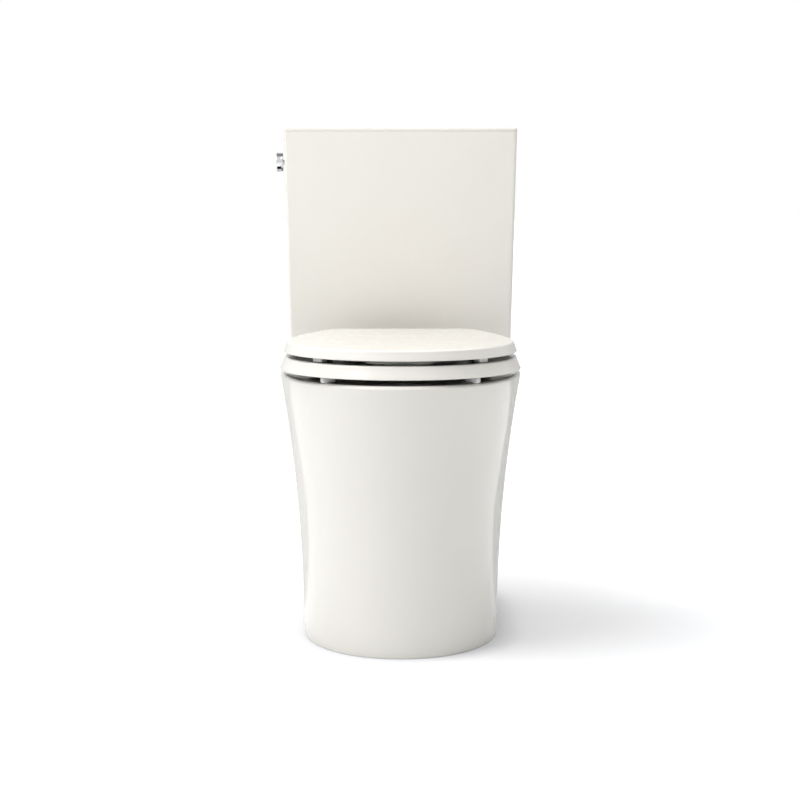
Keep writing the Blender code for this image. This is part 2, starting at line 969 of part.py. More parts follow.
def make_tank_bolts():
    y = at(valve_back)
    washer_top = tank_inside + touch_gap + bolt_washer
    head_low = washer_top + touch_gap
    deck_under = rim_height - deck_thickness
    nut_top = deck_under - touch_gap
    nut_low = nut_top - bolt_nut
    for side, word in ((-1, "left"), (1, "right")):
        x = side * bolt_spread / 2
        washer(
            f"tank_bolt_washer_{word}", bolt_radius + touch_gap, bolt_washer_radius,
            tank_inside + touch_gap, washer_top, x, y, black_rubber, small_steps,
        )
        profile = [
            (0.0, head_low + bolt_head),
            (bolt_head_radius * 0.8, head_low + bolt_head),
            (bolt_head_radius, head_low + bolt_head * 0.6),
            (bolt_head_radius, head_low),
            (bolt_radius, head_low),
            (bolt_radius, nut_low - bolt_tail),
            (0.0, nut_low - bolt_tail),
        ]
        turned(f"tank_bolt_{word}", profile, (x, y, 0.0), plain_brass, small_steps)
        hex_nut(
            f"tank_nut_{word}", bolt_nut_radius, bolt_radius + touch_gap, nut_low, nut_top, x, y,
            plain_brass,
        )


# Flush valve: a fixed seat with a guide post, and a canister that lifts off it


def make_flush_valve():
    y = at(valve_back)
    centre = (0.0, y, 0.0)
    washer_low = tank_inside + touch_gap
    flange_low = washer_low + valve_washer + touch_gap
    flange_top = flange_low + valve_flange
    washer(
        "flush_valve_washer", valve_shank_radius + touch_gap, valve_flange_radius, washer_low,
        washer_low + valve_washer, 0, y, black_rubber, fine_steps,
    )
    shank_low = tank_bottom - valve_shank_drop
    profile = [
        (valve_seat_radius, seat_z),
        (valve_seat_radius, flange_top),
        (valve_flange_radius, flange_top),
        (valve_flange_radius, flange_low),
        (valve_shank_radius, flange_low),
        (valve_shank_radius, shank_low),
        (valve_bore, shank_low),
        (valve_bore, seat_z),
    ]
    body = turned(
        "flush_valve_body", profile, centre, white_plastic, fine_steps, closed=True
    )
    reach = (valve_bore + valve_seat_radius) / 2
    bars_low = flange_low
    half = spider_width / 2
    for name, across, along in (("bar_across", reach, half), ("bar_along", half, reach)):
        join(body, block(
            name, (-across, y - along, bars_low), (across, y + along, bars_low + spider_height),
            white_plastic,
        ))
    post = disc_profile(post_radius, bars_low + spider_height / 3, post_top)
    join(body, turned("guide_post", post, centre, white_plastic, small_steps))
    nut_top = tank_bottom - touch_gap
    washer(
        "flush_valve_nut", valve_shank_radius + touch_gap, valve_nut_radius, nut_top - valve_nut,
        nut_top, 0, y, grey_plastic, fine_steps,
    )
    ledge = rim_height - inlet_depth + touch_gap
    sleeve = valve_nut_radius + touch_gap
    gasket = [
        (inlet_radius - touch_gap, nut_top),
        (inlet_radius - touch_gap, ledge),
        (valve_shank_radius - touch_gap, ledge),
        (valve_shank_radius - touch_gap, shank_low - touch_gap),
        (valve_shank_radius + touch_gap, shank_low - touch_gap),
        (valve_shank_radius + touch_gap, nut_top - valve_nut - touch_gap),
        (sleeve, nut_top - valve_nut - touch_gap),
        (sleeve, nut_top),
    ]
    turned("tank_gasket", gasket, centre, black_rubber, fine_steps, closed=True)
    return body


def make_canister():
    """The canister, its seal and the strap that lifts it: they slide up the guide post together."""
    y = at(valve_back)
    centre = (0.0, y, 0.0)
    seal_low = seat_z + touch_gap
    flange_low = seal_low + seal_thickness + touch_gap
    inner = canister_radius - canister_wall
    seal = ring_profile(
        canister_flange_radius - seal_width, canister_flange_radius, seal_low,
        seal_low + seal_thickness,
    )
    turned("canister_seal", seal, centre, red_rubber, fine_steps, closed=True)
    profile = [
        (canister_radius, canister_top),
        (canister_radius, flange_low + canister_flange),
        (canister_flange_radius, flange_low + canister_flange),
        (canister_flange_radius, flange_low),
        (inner, flange_low),
        (inner, canister_top),
    ]
    canister = turned("canister", profile, centre, grey_plastic, fine_steps, closed=True)
    reach = (inner + canister_radius) / 2
    half = spider_width / 2
    bars_low = canister_top - canister_bars
    for name, across, along in (("top_across", reach, half), ("top_along", half, reach)):
        join(canister, block(
            name, (-across, y - along, bars_low), (across, y + along, canister_top - touch_gap),
            grey_plastic,
        ))
    hub = disc_profile(canister_hub_radius, bars_low - touch_gap, canister_top + touch_gap)
    join(canister, turned("canister_hub", hub, centre, grey_plastic, small_steps))
    cut(canister, drill(
        "canister_guide", post_radius + running_gap, bars_low - overrun, canister_top + overrun,
        0, y, small_steps,
    ))
    make_strap()


def make_strap():
    """A flat strap up from the canister's rim, ending in an eye round the trip arm's tip."""
    x, y = arm_tip.x, arm_tip.y
    eye_low = arm_tip.z - strap_eye_height / 2
    half_long = strap_eye_length / 2
    half_thin, half_wide = strap_thickness / 2, strap_width / 2
    low = canister_top + touch_gap
    strap = block(
        "lift_strap", (x - half_thin, y - half_long, eye_low),
        (x + half_thin, y + half_long, eye_low + strap_eye_height), blue_plastic,
    )
    inside = half_long - strap_eye_wall
    cut(strap, block(
        "strap_eye_cutter", (x - strap_thickness, y - inside, eye_low + strap_eye_wall),
        (x + strap_thickness, y + inside, eye_low + strap_eye_height - strap_eye_wall),
        blue_plastic, cutters,
    ))
    web_top, foot_top = eye_low + strap_eye_wall / 2, low + strap_thickness
    join(strap, block(
        "strap_web", (x - half_thin, y - half_wide, low), (x + half_thin, y + half_wide, web_top),
        blue_plastic,
    ))
    join(strap, block(
        "strap_foot", (x - strap_foot, y - half_wide, low),
        (x + strap_foot, y + half_wide, foot_top), blue_plastic,
    ))


# Fill valve with its float ring, and the refill tube to the flush valve's post


def make_fill_valve():
    centre = (fill_x, fill_y, 0.0)
    washer_low = tank_inside + touch_gap
    flange_low = washer_low + fill_washer + touch_gap
    washer(
        "fill_valve_washer", fill_shank_radius + touch_gap, fill_flange_radius, washer_low,
        washer_low + fill_washer, fill_x, fill_y, black_rubber,
    )
    shank_low = tank_bottom - fill_shank_drop
    profile = [
        (0.0, riser_top),
        (riser_radius, riser_top),
        (riser_radius, flange_low + fill_flange),
        (fill_flange_radius, flange_low + fill_flange),
        (fill_flange_radius, flange_low),
        (fill_shank_radius, flange_low),
        (fill_shank_radius, shank_low),
        (fill_bore, shank_low),
        (fill_bore, flange_low),
        (0.0, flange_low),
    ]
    turned("fill_valve_body", profile, centre, white_plastic)
    nut_top = tank_bottom - touch_gap
    hex_nut(
        "fill_valve_nut", fill_nut_radius, fill_shank_radius + touch_gap, nut_top - fill_nut,
        nut_top, fill_x, fill_y, white_plastic, round_steps,
    )
    head_low = riser_top + touch_gap
    head_top = head_low + fill_head
    head = [
        (0.0, head_top),
        (fill_head_radius - fill_head_round, head_top),
        (fill_head_radius, head_top - fill_head_round),
        (fill_head_radius, head_low),
        (0.0, head_low),
    ]
    cap = turned("fill_valve_head", head, centre, grey_plastic)
    nipple = disc_profile(refill_radius * 0.8, head_top - touch_gap * 2, head_top + nipple_length)
    join(cap, turned("head_nipple", nipple, centre, grey_plastic, small_steps))
    low = flange_low + fill_flange + riser_height * float_low_share
    inner = riser_radius + running_gap
    roof = low + riser_height * float_height_share
    ring = [
        (float_radius - float_edge, roof),
        (float_radius, roof - float_edge),
        (float_radius, low + float_edge),
        (float_radius - float_edge, low),
        (inner, low),
        (inner, roof),
    ]
    turned("float_ring", ring, centre, grey_plastic, closed=True)
    stop_top = low - touch_gap
    washer(
        "float_stop", riser_radius + touch_gap, riser_radius + stop_rim,
        stop_top - stop_height, stop_top, fill_x, fill_y, white_plastic,
    )


def make_refill_tube():
    """The cap on the guide post and the tube that fills the bowl through it."""
    y = at(valve_back)
    cap_low = post_top - post_cap / 2
    inner = post_radius + touch_gap
    profile = [
        (0.0, post_top + post_cap / 2),
        (post_cap_radius, post_top + post_cap / 2),
        (post_cap_radius, cap_low),
        (inner, cap_low),
        (inner, post_top + touch_gap),
        (0.0, post_top + touch_gap),
    ]
    cap = turned("guide_post_cap", profile, (0.0, y, 0.0), blue_plastic, small_steps)
    spout_z = post_top + post_cap / 4
    spout = [
        Vector((0.0, y + post_cap_radius * 0.6, spout_z)),
        Vector((0.0, y + post_cap_radius + nipple_length, spout_z)),
    ]
    join(cap, solid_from(tube("cap_nipple", spout, refill_radius * 0.8, blue_plastic, cutters, 2)))
    start = Vector((fill_x, fill_y, riser_top + touch_gap * 2 + fill_head + nipple_length))
    end = Vector((0.0, y + post_cap_radius + nipple_length + touch_gap, spout_z))
    rise, slack = Vector((0.0, 0.0, refill_bow)), Vector((0.0, refill_bow, 0.0))
    places = [start.lerp(end, s) + rise * up + slack * out for s, up, out in refill_path_shares]
    path = [start] + smooth_path(places, path_steps + 1) + [end]
    tube("refill_tube", path, refill_radius, clear_vinyl, resolution=1)


# Flush lever: all its pieces hang on an empty that stands on the tank's side wall, square to it


def make_lever_axis():
    empty = bpy.data.objects.new("lever_axis", None)
    pieces.objects.link(empty)
    empty.location = lever_place
    empty.rotation_euler = (0.0, -lever_tilt, 0.0)
    bpy.context.view_layer.update()
    return empty


def on_lever(obj):
    obj.parent = lever_axis
    return obj


def make_lever():
    flange_out = -touch_gap - bushing_flange
    bushing = lying_round(
        "lever_bushing", bushing_radius, -touch_gap - bushing_flange / 2, tank_wall + bushing_tail,
        0, 0, white_plastic,
    )
    flange = lying_round(
        "bushing_flange", bushing_flange_radius, flange_out, -touch_gap, 0, 0, white_plastic
    )
    bore = lying_round(
        "bushing_bore", shaft_radius + touch_gap, flange_out - overrun,
        tank_wall + bushing_tail + overrun, 0, 0, white_plastic, cutters, small_steps,
    )
    for piece in (bushing, flange, bore):
        on_lever(piece)
    cut(join(bushing, flange), bore)
    nut_start = tank_wall + touch_gap * 2
    nut = lying_round(
        "lever_nut", lever_nut_radius, nut_start, nut_start + lever_nut, 0, 0, grey_plastic, steps=6
    )
    nut_bore = lying_round(
        "lever_nut_bore", bushing_radius + touch_gap, nut_start - overrun,
        nut_start + lever_nut + overrun, 0, 0, grey_plastic, cutters,
    )
    cut(on_lever(nut), on_lever(nut_bore))
    handle = plate(
        "flush_lever", pill(handle_length, handle_height, small_steps), handle_thickness,
        handle_round, bright_chrome,
    )
    handle_middle = flange_out - touch_gap - handle_thickness / 2
    turn = Matrix.Rotation(math.pi / 2, 4, "Z") @ Matrix.Rotation(math.pi / 2, 4, "X")
    handle.data.transform(Matrix.Translation((handle_middle, 0.0, 0.0)) @ turn)
    handle.data.update()
    shaft = lying_round(
        "lever_shaft", shaft_radius, handle_middle, arm_start + arm_hub, 0, 0, bright_chrome,
        steps=small_steps,
    )
    join(on_lever(handle), on_lever(shaft))
    make_trip_arm()


def make_trip_arm():
    hub = lying_round(
        "trip_arm", arm_hub_radius, arm_start, arm_start + arm_hub, 0, 0, plain_brass,
        steps=small_steps,
    )
    middle = arm_start + arm_hub / 2
    places = [
        Vector((middle, arm_hub_radius * 0.75, 0.0)),
        Vector((mix(middle, arm_reach, 0.3), arm_throw * 0.42, 0.0)),
        Vector((mix(middle, arm_reach, 0.8), arm_throw, 0.0)),
        Vector((arm_reach + strap_thickness * 2, arm_throw, 0.0)),
    ]
    path = smooth_path(places, path_steps)
    rod = solid_from(tube("arm_rod", path, arm_radius, plain_brass, cutters, 1))
    bore = lying_round(
        "arm_bore", shaft_radius + touch_gap, arm_start - overrun, arm_start + arm_hub + overrun,
        0, 0, plain_brass, cutters, small_steps,
    )
    for piece in (hub, rod, bore):
        on_lever(piece)
    return cut(join(hub, rod), bore)


# Seat, lid and the pieces that carry them


def make_seat():
    half = seat_width / 2
    low = egg_outline(
        seat_front, half, seat_back, seat_back_width / 2, seat_belly, lid_corner
    )
    top = egg_outline(
        seat_front + seat_flare, half - seat_flare, seat_back, seat_back_width / 2 - seat_flare,
        seat_belly, lid_corner,
    )
    hole = egg_outline(
        seat_hole_front, seat_hole_width / 2, seat_hole_back, seat_hole_width / 4,
        seat_belly, seat_hole_width / 4,
    )

    def between(share, z):
        return [(mix(a[0], b[0], share), mix(a[1], b[1], share), z) for a, b in zip(top, hole)]

    edge_share = seat_edge / (seat_hole_front - seat_front)
    drawn = shrink(low, seat_edge / 2, seat_belly, half)
    inner_edge = seat_edge / 2
    rings = [
        level(drawn, seat_bottom),
        level(low, seat_bottom + seat_edge / 2),
        level(top, seat_top - seat_edge),
        between(edge_share * 0.35, seat_top - seat_edge * 0.3),
        between(edge_share * 1.2, seat_top),
        between(0.45, seat_top),
        between(0.8, seat_top - seat_dip * 0.6),
        between(1 - edge_share, seat_top - seat_dip - inner_edge / 2),
        between(1.0, seat_top - seat_dip - seat_edge),
        between(1.0, seat_bottom + inner_edge),
        between(1 - edge_share / 2, seat_bottom),
    ]
    seat = loft("seat_ring", rings, seat_plastic, endless=True)
    for side in (-1, 1):
        near = side * (hinge_spread / 2 + hinge_post_width / 2 + running_gap)
        far = near + side * knuckle_width
        start, end = sorted((near, far))
        axis_y = at(hinge_back)
        arm_low = (seat_bottom + seat_top - seat_arm_height) / 2
        join(seat, block(
            f"seat_arm{side}", (start, at(seat_back - seat_arm_reach), arm_low),
            (end, axis_y, arm_low + seat_arm_height), seat_plastic,
        ))
        join(seat, lying_round(
            f"seat_barrel{side}", barrel_radius, start, end, axis_y, hinge_z, seat_plastic
        ))
        cut(seat, lying_round(
            f"seat_pin_hole{side}", pin_radius + touch_gap, start - overrun, end + overrun, axis_y,
            hinge_z, seat_plastic, cutters, small_steps,
        ))
    return seat


def make_lid():
    half = lid_width / 2
    back_half = lid_back_width / 2

    def outline(inset, back=lid_back, corner=lid_corner):
        return egg_outline(
            lid_front + inset, half - inset, back, back_half - inset, lid_belly, corner
        )

    recess = outline(lid_recess_inset, lid_recess_back)
    edge = lid_edge_round
    rings = [
        level(shrink(recess, lid_recess / 8, lid_belly, half), lid_bottom + lid_recess),
        level(recess, lid_bottom),
        level(outline(edge / 2), lid_bottom),
        level(outline(0.0), lid_bottom + edge / 2),
        level(outline(lid_flare), lid_top - lid_crown - edge),
        level(outline(lid_flare + edge * 0.3), lid_top - lid_crown - edge * 0.3),
        level(outline(lid_flare + edge), lid_top - lid_crown),
        level(shrink(outline(lid_flare + edge), half / 2, lid_belly, half), lid_top),
    ]
    lid = loft("seat_lid", rings, seat_plastic)
    axis_y = at(hinge_back)
    for side in (-1, 1):
        near = side * (hinge_spread / 2 - hinge_post_width / 2 - running_gap)
        far = near - side * knuckle_width
        start, end = sorted((near, far))
        neck = barrel_radius * 0.8
        join(lid, block(
            f"lid_neck{side}", (start, axis_y - neck, hinge_z),
            (end, axis_y + neck, lid_bottom + edge), seat_plastic,
        ))
        join(lid, lying_round(
            f"lid_barrel{side}", barrel_radius, start, end, axis_y, hinge_z, seat_plastic
        ))
        cut(lid, lying_round(
            f"lid_pin_hole{side}", pin_radius + touch_gap, start - overrun, end + overrun, axis_y,
            hinge_z, seat_plastic, cutters, small_steps,
        ))
    return lid


def make_hinges():
    """On each side a post on the deck, the bolt that holds it down and the pin in its barrel."""
    axis_y = at(hinge_back)
    for side, word in ((-1, "left"), (1, "right")):
        x = side * hinge_spread / 2
        base_low = rim_height + touch_gap
        base_top = rim_height + post_base
        head_low = base_low
        roof = head_low + seat_bolt_head + touch_gap
        cavity = seat_bolt_head_radius + touch_gap
        profile = [
            (0.0, base_top),
            (post_base_radius * 0.9, base_top),
            (post_base_radius, base_top - post_base * 0.2),
            (post_base_radius, base_low),
            (cavity, base_low),
            (cavity, roof),
            (0.0, roof),
        ]
        post = turned(f"hinge_post_{word}", profile, (x, axis_y, 0.0), seat_plastic)
        half, thin = hinge_post_width / 2, post_neck / 2
        join(post, block(
            f"post_neck{side}", (x - half, axis_y - thin, base_top - touch_gap),
            (x + half, axis_y + thin, hinge_z), seat_plastic,
        ))
        join(post, lying_round(
            f"post_barrel{side}", barrel_radius, x - half, x + half, axis_y, hinge_z, seat_plastic
        ))
        cut(post, lying_round(
            f"post_pin_hole{side}", pin_radius + touch_gap, x - half - overrun, x + half + overrun,
            axis_y, hinge_z, seat_plastic, cutters, small_steps,
        ))
        span = hinge_post_width / 2 + running_gap + knuckle_width + pin_tail
        lying_round(
            f"hinge_pin_{word}", pin_radius, x - span, x + span, axis_y, hinge_z, zinc_steel,
            steps=small_steps,
        )
        deck_under = rim_height - deck_thickness
        washer_top = deck_under - touch_gap
        nut_top = washer_top - seat_washer - touch_gap
        nut_low = nut_top - seat_nut
        bolt = [
            (0.0, head_low + seat_bolt_head),
            (seat_bolt_head_radius, head_low + seat_bolt_head),
            (seat_bolt_head_radius, head_low),
            (seat_bolt_radius, head_low),
            (seat_bolt_radius, nut_low - seat_bolt_tail),
            (0.0, nut_low - seat_bolt_tail),
        ]
        turned(f"seat_bolt_{word}", bolt, (x, axis_y, 0.0), zinc_steel, small_steps)
        washer(
            f"seat_washer_{word}", seat_bolt_radius + touch_gap, seat_washer_radius,
            washer_top - seat_washer, washer_top, x, axis_y, black_rubber, small_steps,
        )
        hex_nut(
            f"seat_nut_{word}", seat_nut_radius, seat_bolt_radius + touch_gap, nut_low, nut_top,
            x, axis_y, white_plastic,
        )


def make_bumper(name, x, back, low, high, material):
    """A small pad under the seat or the lid, turned along the rim where it lies."""
    half_x, half_y = bumper_width / 2, bumper_length / 2
    pad = block(
        name, (-half_x, -half_y, low), (half_x, half_y, high), material, bevel=bumper_round / 2
    )
    lean = math.atan2((seat_belly - back) * (bowl_width / 2 / seat_belly) ** 2, abs(x))
    pad.rotation_euler = (0.0, 0.0, -lean if x > 0 else lean)
    pad.location = (x, at(back), 0.0)
    return pad


def make_bumpers():
    low, high = rim_height + touch_gap, seat_bottom - touch_gap
    lid_low, lid_high = seat_top + touch_gap, lid_bottom + lid_recess - touch_gap
    seat_shape = (seat_front, seat_width / 2, seat_back, seat_back_width / 2, seat_belly)
    lid_shape = (lid_front, lid_width / 2, lid_back, lid_back_width / 2, lid_belly)
    seat_rear, lid_rear = seat_back - seat_bumper_rear, lid_back - lid_bumper_rear
    rows = (
        ("seat_bumper_front", seat_bumper_front, seat_shape, seat_bumper_inset, low, high),
        ("seat_bumper_rear", seat_rear, seat_shape, seat_bumper_rear_inset, low, high),
        ("lid_bumper_front", lid_bumper_front, lid_shape, lid_bumper_inset, lid_low, lid_high),
        ("lid_bumper_rear", lid_rear, lid_shape, lid_bumper_rear_inset, lid_low, lid_high),
    )
    for name, back, shape, inset, bottom, top in rows:
        x = egg_half(back, *shape) - inset
        make_bumper(name + "_left", -x, back, bottom, top, bumper_vinyl)
        make_bumper(name + "_right", x, back, bottom, top, bumper_vinyl)


# Floor anchors: a bracket inside each side of the skirt, its side screw and the screw's cap


def make_anchors():
    y = at(anchor_back)
    wall_in = foot_width / 2 - china_wall - touch_gap
    for side, word in ((-1, "left"), (1, "right")):
        outer, inner = side * wall_in, side * (wall_in - anchor_thickness)
        start, end = sorted((outer, inner))
        half = anchor_width / 2
        bracket = block(
            f"anchor_bracket_{word}", (start, y - half, 0.0), (end, y + half, anchor_leg),
            zinc_steel,
        )
        start, end = sorted((outer, side * (wall_in - anchor_base)))
        join(bracket, block(
            f"anchor_base{side}", (start, y - half, 0.0), (end, y + half, anchor_thickness),
            zinc_steel,
        ))
        slot_x = side * (wall_in - anchor_thickness - anchor_base / 2)
        slot_half = anchor_slot / 2
        cut(bracket, block(
            f"anchor_slot{side}", (slot_x - slot_half, y - half / 2, -overrun),
            (slot_x + slot_half, y + half / 2, anchor_thickness + overrun), zinc_steel, cutters,
        ))
        thread = anchor_screw_radius + touch_gap
        start, end = sorted((outer + side * touch_gap, inner - side * overrun))
        cut(bracket, lying_round(
            f"anchor_thread{side}", thread, start - overrun, end + overrun, y, anchor_height,
            zinc_steel, cutters, small_steps,
        ))
        face = foot_width / 2 + touch_gap * 2
        reach = wall_in - anchor_thickness - anchor_screw_reach
        screw = [
            (0.0, anchor_head),
            (anchor_head_radius * 0.8, anchor_head),
            (anchor_head_radius, anchor_head * 0.5),
            (anchor_head_radius, 0.0),
            (anchor_screw_radius, 0.0),
            (anchor_screw_radius, reach - face),
            (0.0, reach - face),
        ]
        turn = side * math.pi / 2
        placed = (side * face, y, anchor_height)
        made = turned(f"anchor_screw_{word}", screw, placed, zinc_steel, small_steps)
        made.rotation_euler = (0.0, turn, 0.0)
        roof = anchor_head + touch_gap
        cavity = anchor_head_radius + touch_gap
        cap = [
            (0.0, roof + cap_wall),
            (cap_radius - cap_round, roof + cap_wall),
            (cap_radius, roof + cap_wall - cap_round),
            (cap_radius, 0.0),
            (cavity, 0.0),
            (cavity, roof),
            (0.0, roof),
        ]
        made = turned(f"anchor_cap_{word}", cap, placed, seat_plastic, small_steps)
        made.rotation_euler = (0.0, turn, 0.0)


# Places of the works inside the tank

fill_x = -(deck_width / 2 + fill_side_gap + fill_nut_radius)
fill_y = at(tank_front + fill_setback)
seat_z = (
    tank_inside + valve_washer + valve_flange + touch_gap * 2 + valve_seat_rise
)
riser_low = tank_inside + fill_washer + touch_gap * 2
riser_top = overall_height - lid_plate - fill_headroom - fill_head - touch_gap
riser_height = riser_top - riser_low
lever_z = overall_height - lever_drop
lever_tilt = math.atan((tank_width - tank_foot_width) / 2 / (overall_height - tank_bottom))
lever_place = Vector((-tank_half(lever_z), at(tank_front + lever_setback), lever_z))
arm_start = tank_wall + bushing_tail + touch_gap
arm_reach = (tank_half(lever_z) - strap_offset) / math.cos(lever_tilt)
arm_tip = Vector((
    -strap_offset,
    at(tank_front + lever_setback + arm_throw),
    lever_z + arm_reach * math.sin(lever_tilt),
))
canister_top = arm_tip.z - strap_reach
post_top = canister_top + lever_lift + post_above

lever_axis = make_lever_axis()
make_bowl()
make_tank()
make_tank_lid()
make_tank_bolts()
make_flush_valve()
make_canister()
make_fill_valve()
make_refill_tube()
make_lever()
make_seat()
make_lid()
make_hinges()
make_bumpers()
make_anchors()
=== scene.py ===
import math

import bmesh
import bpy
from mathutils import Matrix, Vector


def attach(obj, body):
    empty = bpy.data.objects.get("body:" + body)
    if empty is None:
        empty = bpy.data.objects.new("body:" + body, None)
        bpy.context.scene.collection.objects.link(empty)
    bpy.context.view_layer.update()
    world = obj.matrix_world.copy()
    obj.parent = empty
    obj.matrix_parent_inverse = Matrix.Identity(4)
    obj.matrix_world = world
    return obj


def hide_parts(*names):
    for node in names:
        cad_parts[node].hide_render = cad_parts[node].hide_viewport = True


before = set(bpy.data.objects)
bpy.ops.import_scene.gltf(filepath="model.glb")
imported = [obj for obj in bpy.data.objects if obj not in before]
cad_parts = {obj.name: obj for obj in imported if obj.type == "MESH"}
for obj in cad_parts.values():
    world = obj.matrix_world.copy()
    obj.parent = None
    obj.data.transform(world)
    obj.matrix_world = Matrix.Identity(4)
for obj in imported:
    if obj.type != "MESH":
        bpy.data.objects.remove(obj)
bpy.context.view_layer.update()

print("frame loaded:", len(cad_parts), "nodes")

# lengths in metres, "back" is measured backwards from the foremost point of the bowl's rim

rimTip = -0.0795
mergeGap = 0.000005


def atBack(back):
    return rimTip + back


def mix(a, b, share):
    return a + (b - a) * share


def ease(share):
    share = min(max(share, 0.0), 1.0)
    return share * share * (3 - 2 * share)


def quarter(radius, *angles):
    # how far each step round a quarter circle stays inside the corner, by its cosine and by its sine
    turns = [math.radians(angle) for angle in angles]
    return [(radius * (1 - math.cos(turn)), radius * (1 - math.sin(turn))) for turn in turns]


# working in Blender

def startClean():
    if bpy.context.mode != "OBJECT":
        bpy.ops.object.mode_set(mode="OBJECT")
    bpy.ops.object.select_all(action="DESELECT")


def takeUp(piece):
    startClean()
    piece.select_set(True)
    bpy.context.view_layer.objects.active = piece


def named(piece, name):
    piece.name = name
    piece.data.name = name
    return piece


def smoothOver(piece, degrees, flats=True):
    takeUp(piece)
    bpy.ops.object.shade_smooth_by_angle(angle=math.radians(degrees))
    if flats:  # big flat faces keep their own normal beside a rounded edge
        step = piece.modifiers.new("flats", "WEIGHTED_NORMAL")
        step.keep_sharp = True
        bpy.ops.object.modifier_apply(modifier=step.name)
    return piece


def finished(piece, finish, body, *nodes):
    if finish:
        piece.data.materials.clear()
        piece.data.materials.append(finishes[finish])
    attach(piece, body)
    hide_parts(*nodes)


def mergedOutwards():
    bpy.ops.mesh.select_all(action="SELECT")
    bpy.ops.mesh.remove_doubles(threshold=mergeGap)
    bpy.ops.mesh.normals_make_consistent(inside=False)
    bpy.ops.object.mode_set(mode="OBJECT")


def skinOver(name, rings, joinEnds=False):
    # a circle is set on the first ring and extruded from ring to ring, then capped or joined
    startClean()
    bpy.ops.mesh.primitive_circle_add(vertices=len(rings[0]), radius=1.0, fill_type="NOTHING")
    piece = named(bpy.context.object, name)
    mesh = piece.data
    bpy.ops.object.mode_set(mode="EDIT")
    bm = bmesh.from_edit_mesh(mesh)
    for vert, point in zip(bm.verts, rings[0]):
        vert.co = point
    places = {tuple(vert.co): i for i, vert in enumerate(bm.verts)}
    if not joinEnds:
        bpy.ops.mesh.duplicate()
        bpy.ops.mesh.edge_face_add()
        bpy.ops.mesh.select_all(action="DESELECT")
        bm = bmesh.from_edit_mesh(mesh)
        bm.verts.ensure_lookup_table()
        for vert in bm.verts[:len(rings[0])]:
            vert.select = True
        bm.select_flush(True)
        bmesh.update_edit_mesh(mesh)
    for ring in rings[1:] + (rings[:1] if joinEnds else []):
        bpy.ops.mesh.extrude_edges_move()
        bm = bmesh.from_edit_mesh(mesh)
        fresh = {}
        for vert in bm.verts:
            if vert.select:
                order = places[tuple(vert.co)]
                vert.co = ring[order]
                fresh[tuple(vert.co)] = order
        places = fresh
        bmesh.update_edit_mesh(mesh)
    if not joinEnds:
        bpy.ops.mesh.edge_face_add()
    mergedOutwards()
    return piece


def turnedPiece(name, profile, centre, steps=64, lean=0.0):
    # half a section of (radius, height) points from axis to axis, spun round once and leant about Y
    startClean()
    bpy.ops.mesh.primitive_plane_add(size=1.0)
    piece = named(bpy.context.object, name)
    bpy.ops.object.mode_set(mode="EDIT")
    bpy.ops.mesh.delete(type="VERT")
    bm = bmesh.from_edit_mesh(piece.data)
    verts = [bm.verts.new((radius, 0.0, height)) for radius, height in profile]
    for a, b in zip(verts, verts[1:]):
        bm.edges.new((a, b))
    bmesh.update_edit_mesh(piece.data)
    bpy.ops.mesh.select_all(action="SELECT")
    bpy.ops.mesh.spin(steps=steps, angle=math.tau, center=(0, 0, 0), axis=(0, 0, 1))
    mergedOutwards()
    if lean:
        piece.data.transform(Matrix.Rotation(lean, 4, "Y"))
    piece.data.transform(Matrix.Translation(centre))
    return piece


def roundBar(name, radius, start, end, edge=0.0, steps=24):
    # a cylinder between two places, with its rims bevelled
    start, end = Vector(start), Vector(end)
    span = end - start
    startClean()
    bpy.ops.mesh.primitive_cylinder_add(vertices=steps, radius=radius, depth=span.length)
    bar = named(bpy.context.object, name)
    if edge:
        bpy.ops.object.mode_set(mode="EDIT")
        bpy.ops.mesh.select_all(action="DESELECT")
        bm = bmesh.from_edit_mesh(bar.data)
        for line in bm.edges:  # the edges of both rims, each with its ends at one height
            if line.verts[0].co.z * line.verts[1].co.z > 0:
                line.select = True
        bmesh.update_edit_mesh(bar.data)
        bpy.ops.mesh.bevel(offset=edge, segments=3, affect="EDGES")
        bpy.ops.object.mode_set(mode="OBJECT")
    turn = Vector((0, 0, 1)).rotation_difference(span.normalized()).to_matrix().to_4x4()
    bar.data.transform(Matrix.Translation((start + end) / 2) @ turn)
    return bar


def softBlock(name, low, high, edge, segments):
    # a cube between two corners, all its edges bevelled
    startClean()
    bpy.ops.mesh.primitive_cube_add(size=1.0)
    piece = named(bpy.context.object, name)
    bpy.ops.object.mode_set(mode="EDIT")
    bpy.ops.transform.resize(value=[h - l for l, h in zip(low, high)], center_override=(0, 0, 0))
    bpy.ops.transform.translate(value=[(h + l) / 2 for l, h in zip(low, high)])
    bpy.ops.mesh.bevel(offset=edge, segments=segments, affect="EDGES")
    bpy.ops.object.mode_set(mode="OBJECT")
    return piece


def boolStep(piece, tool, operation):
    step = piece.modifiers.new(operation.lower(), "BOOLEAN")
    step.operation = operation
    step.solver = "EXACT"
    step.material_mode = "TRANSFER"
    step.object = tool
    takeUp(piece)
    bpy.ops.object.modifier_apply(modifier=step.name)
    bpy.data.objects.remove(tool, do_unlink=True)


def cutAway(piece, *tools):
    for tool in tools:
        boolStep(piece, tool, "DIFFERENCE")


def fuse(piece, *tools):
    for tool in tools:
        boolStep(piece, tool, "UNION")


def mirroredCopy(piece, name):
    made = piece.copy()
    made.data = piece.data.copy()
    bpy.context.scene.collection.objects.link(made)
    named(made, name)
    made.data.transform(Matrix.Scale(-1, 4, (1, 0, 0)))
    takeUp(made)
    bpy.ops.object.mode_set(mode="EDIT")
    bpy.ops.mesh.select_all(action="SELECT")
    bpy.ops.mesh.normals_make_consistent(inside=False)
    bpy.ops.object.mode_set(mode="OBJECT")
    return made


# outlines seen from above, right half first

def bothHalves(half):
    return half + [(-x, y) for x, y in reversed(half[1:-1])]


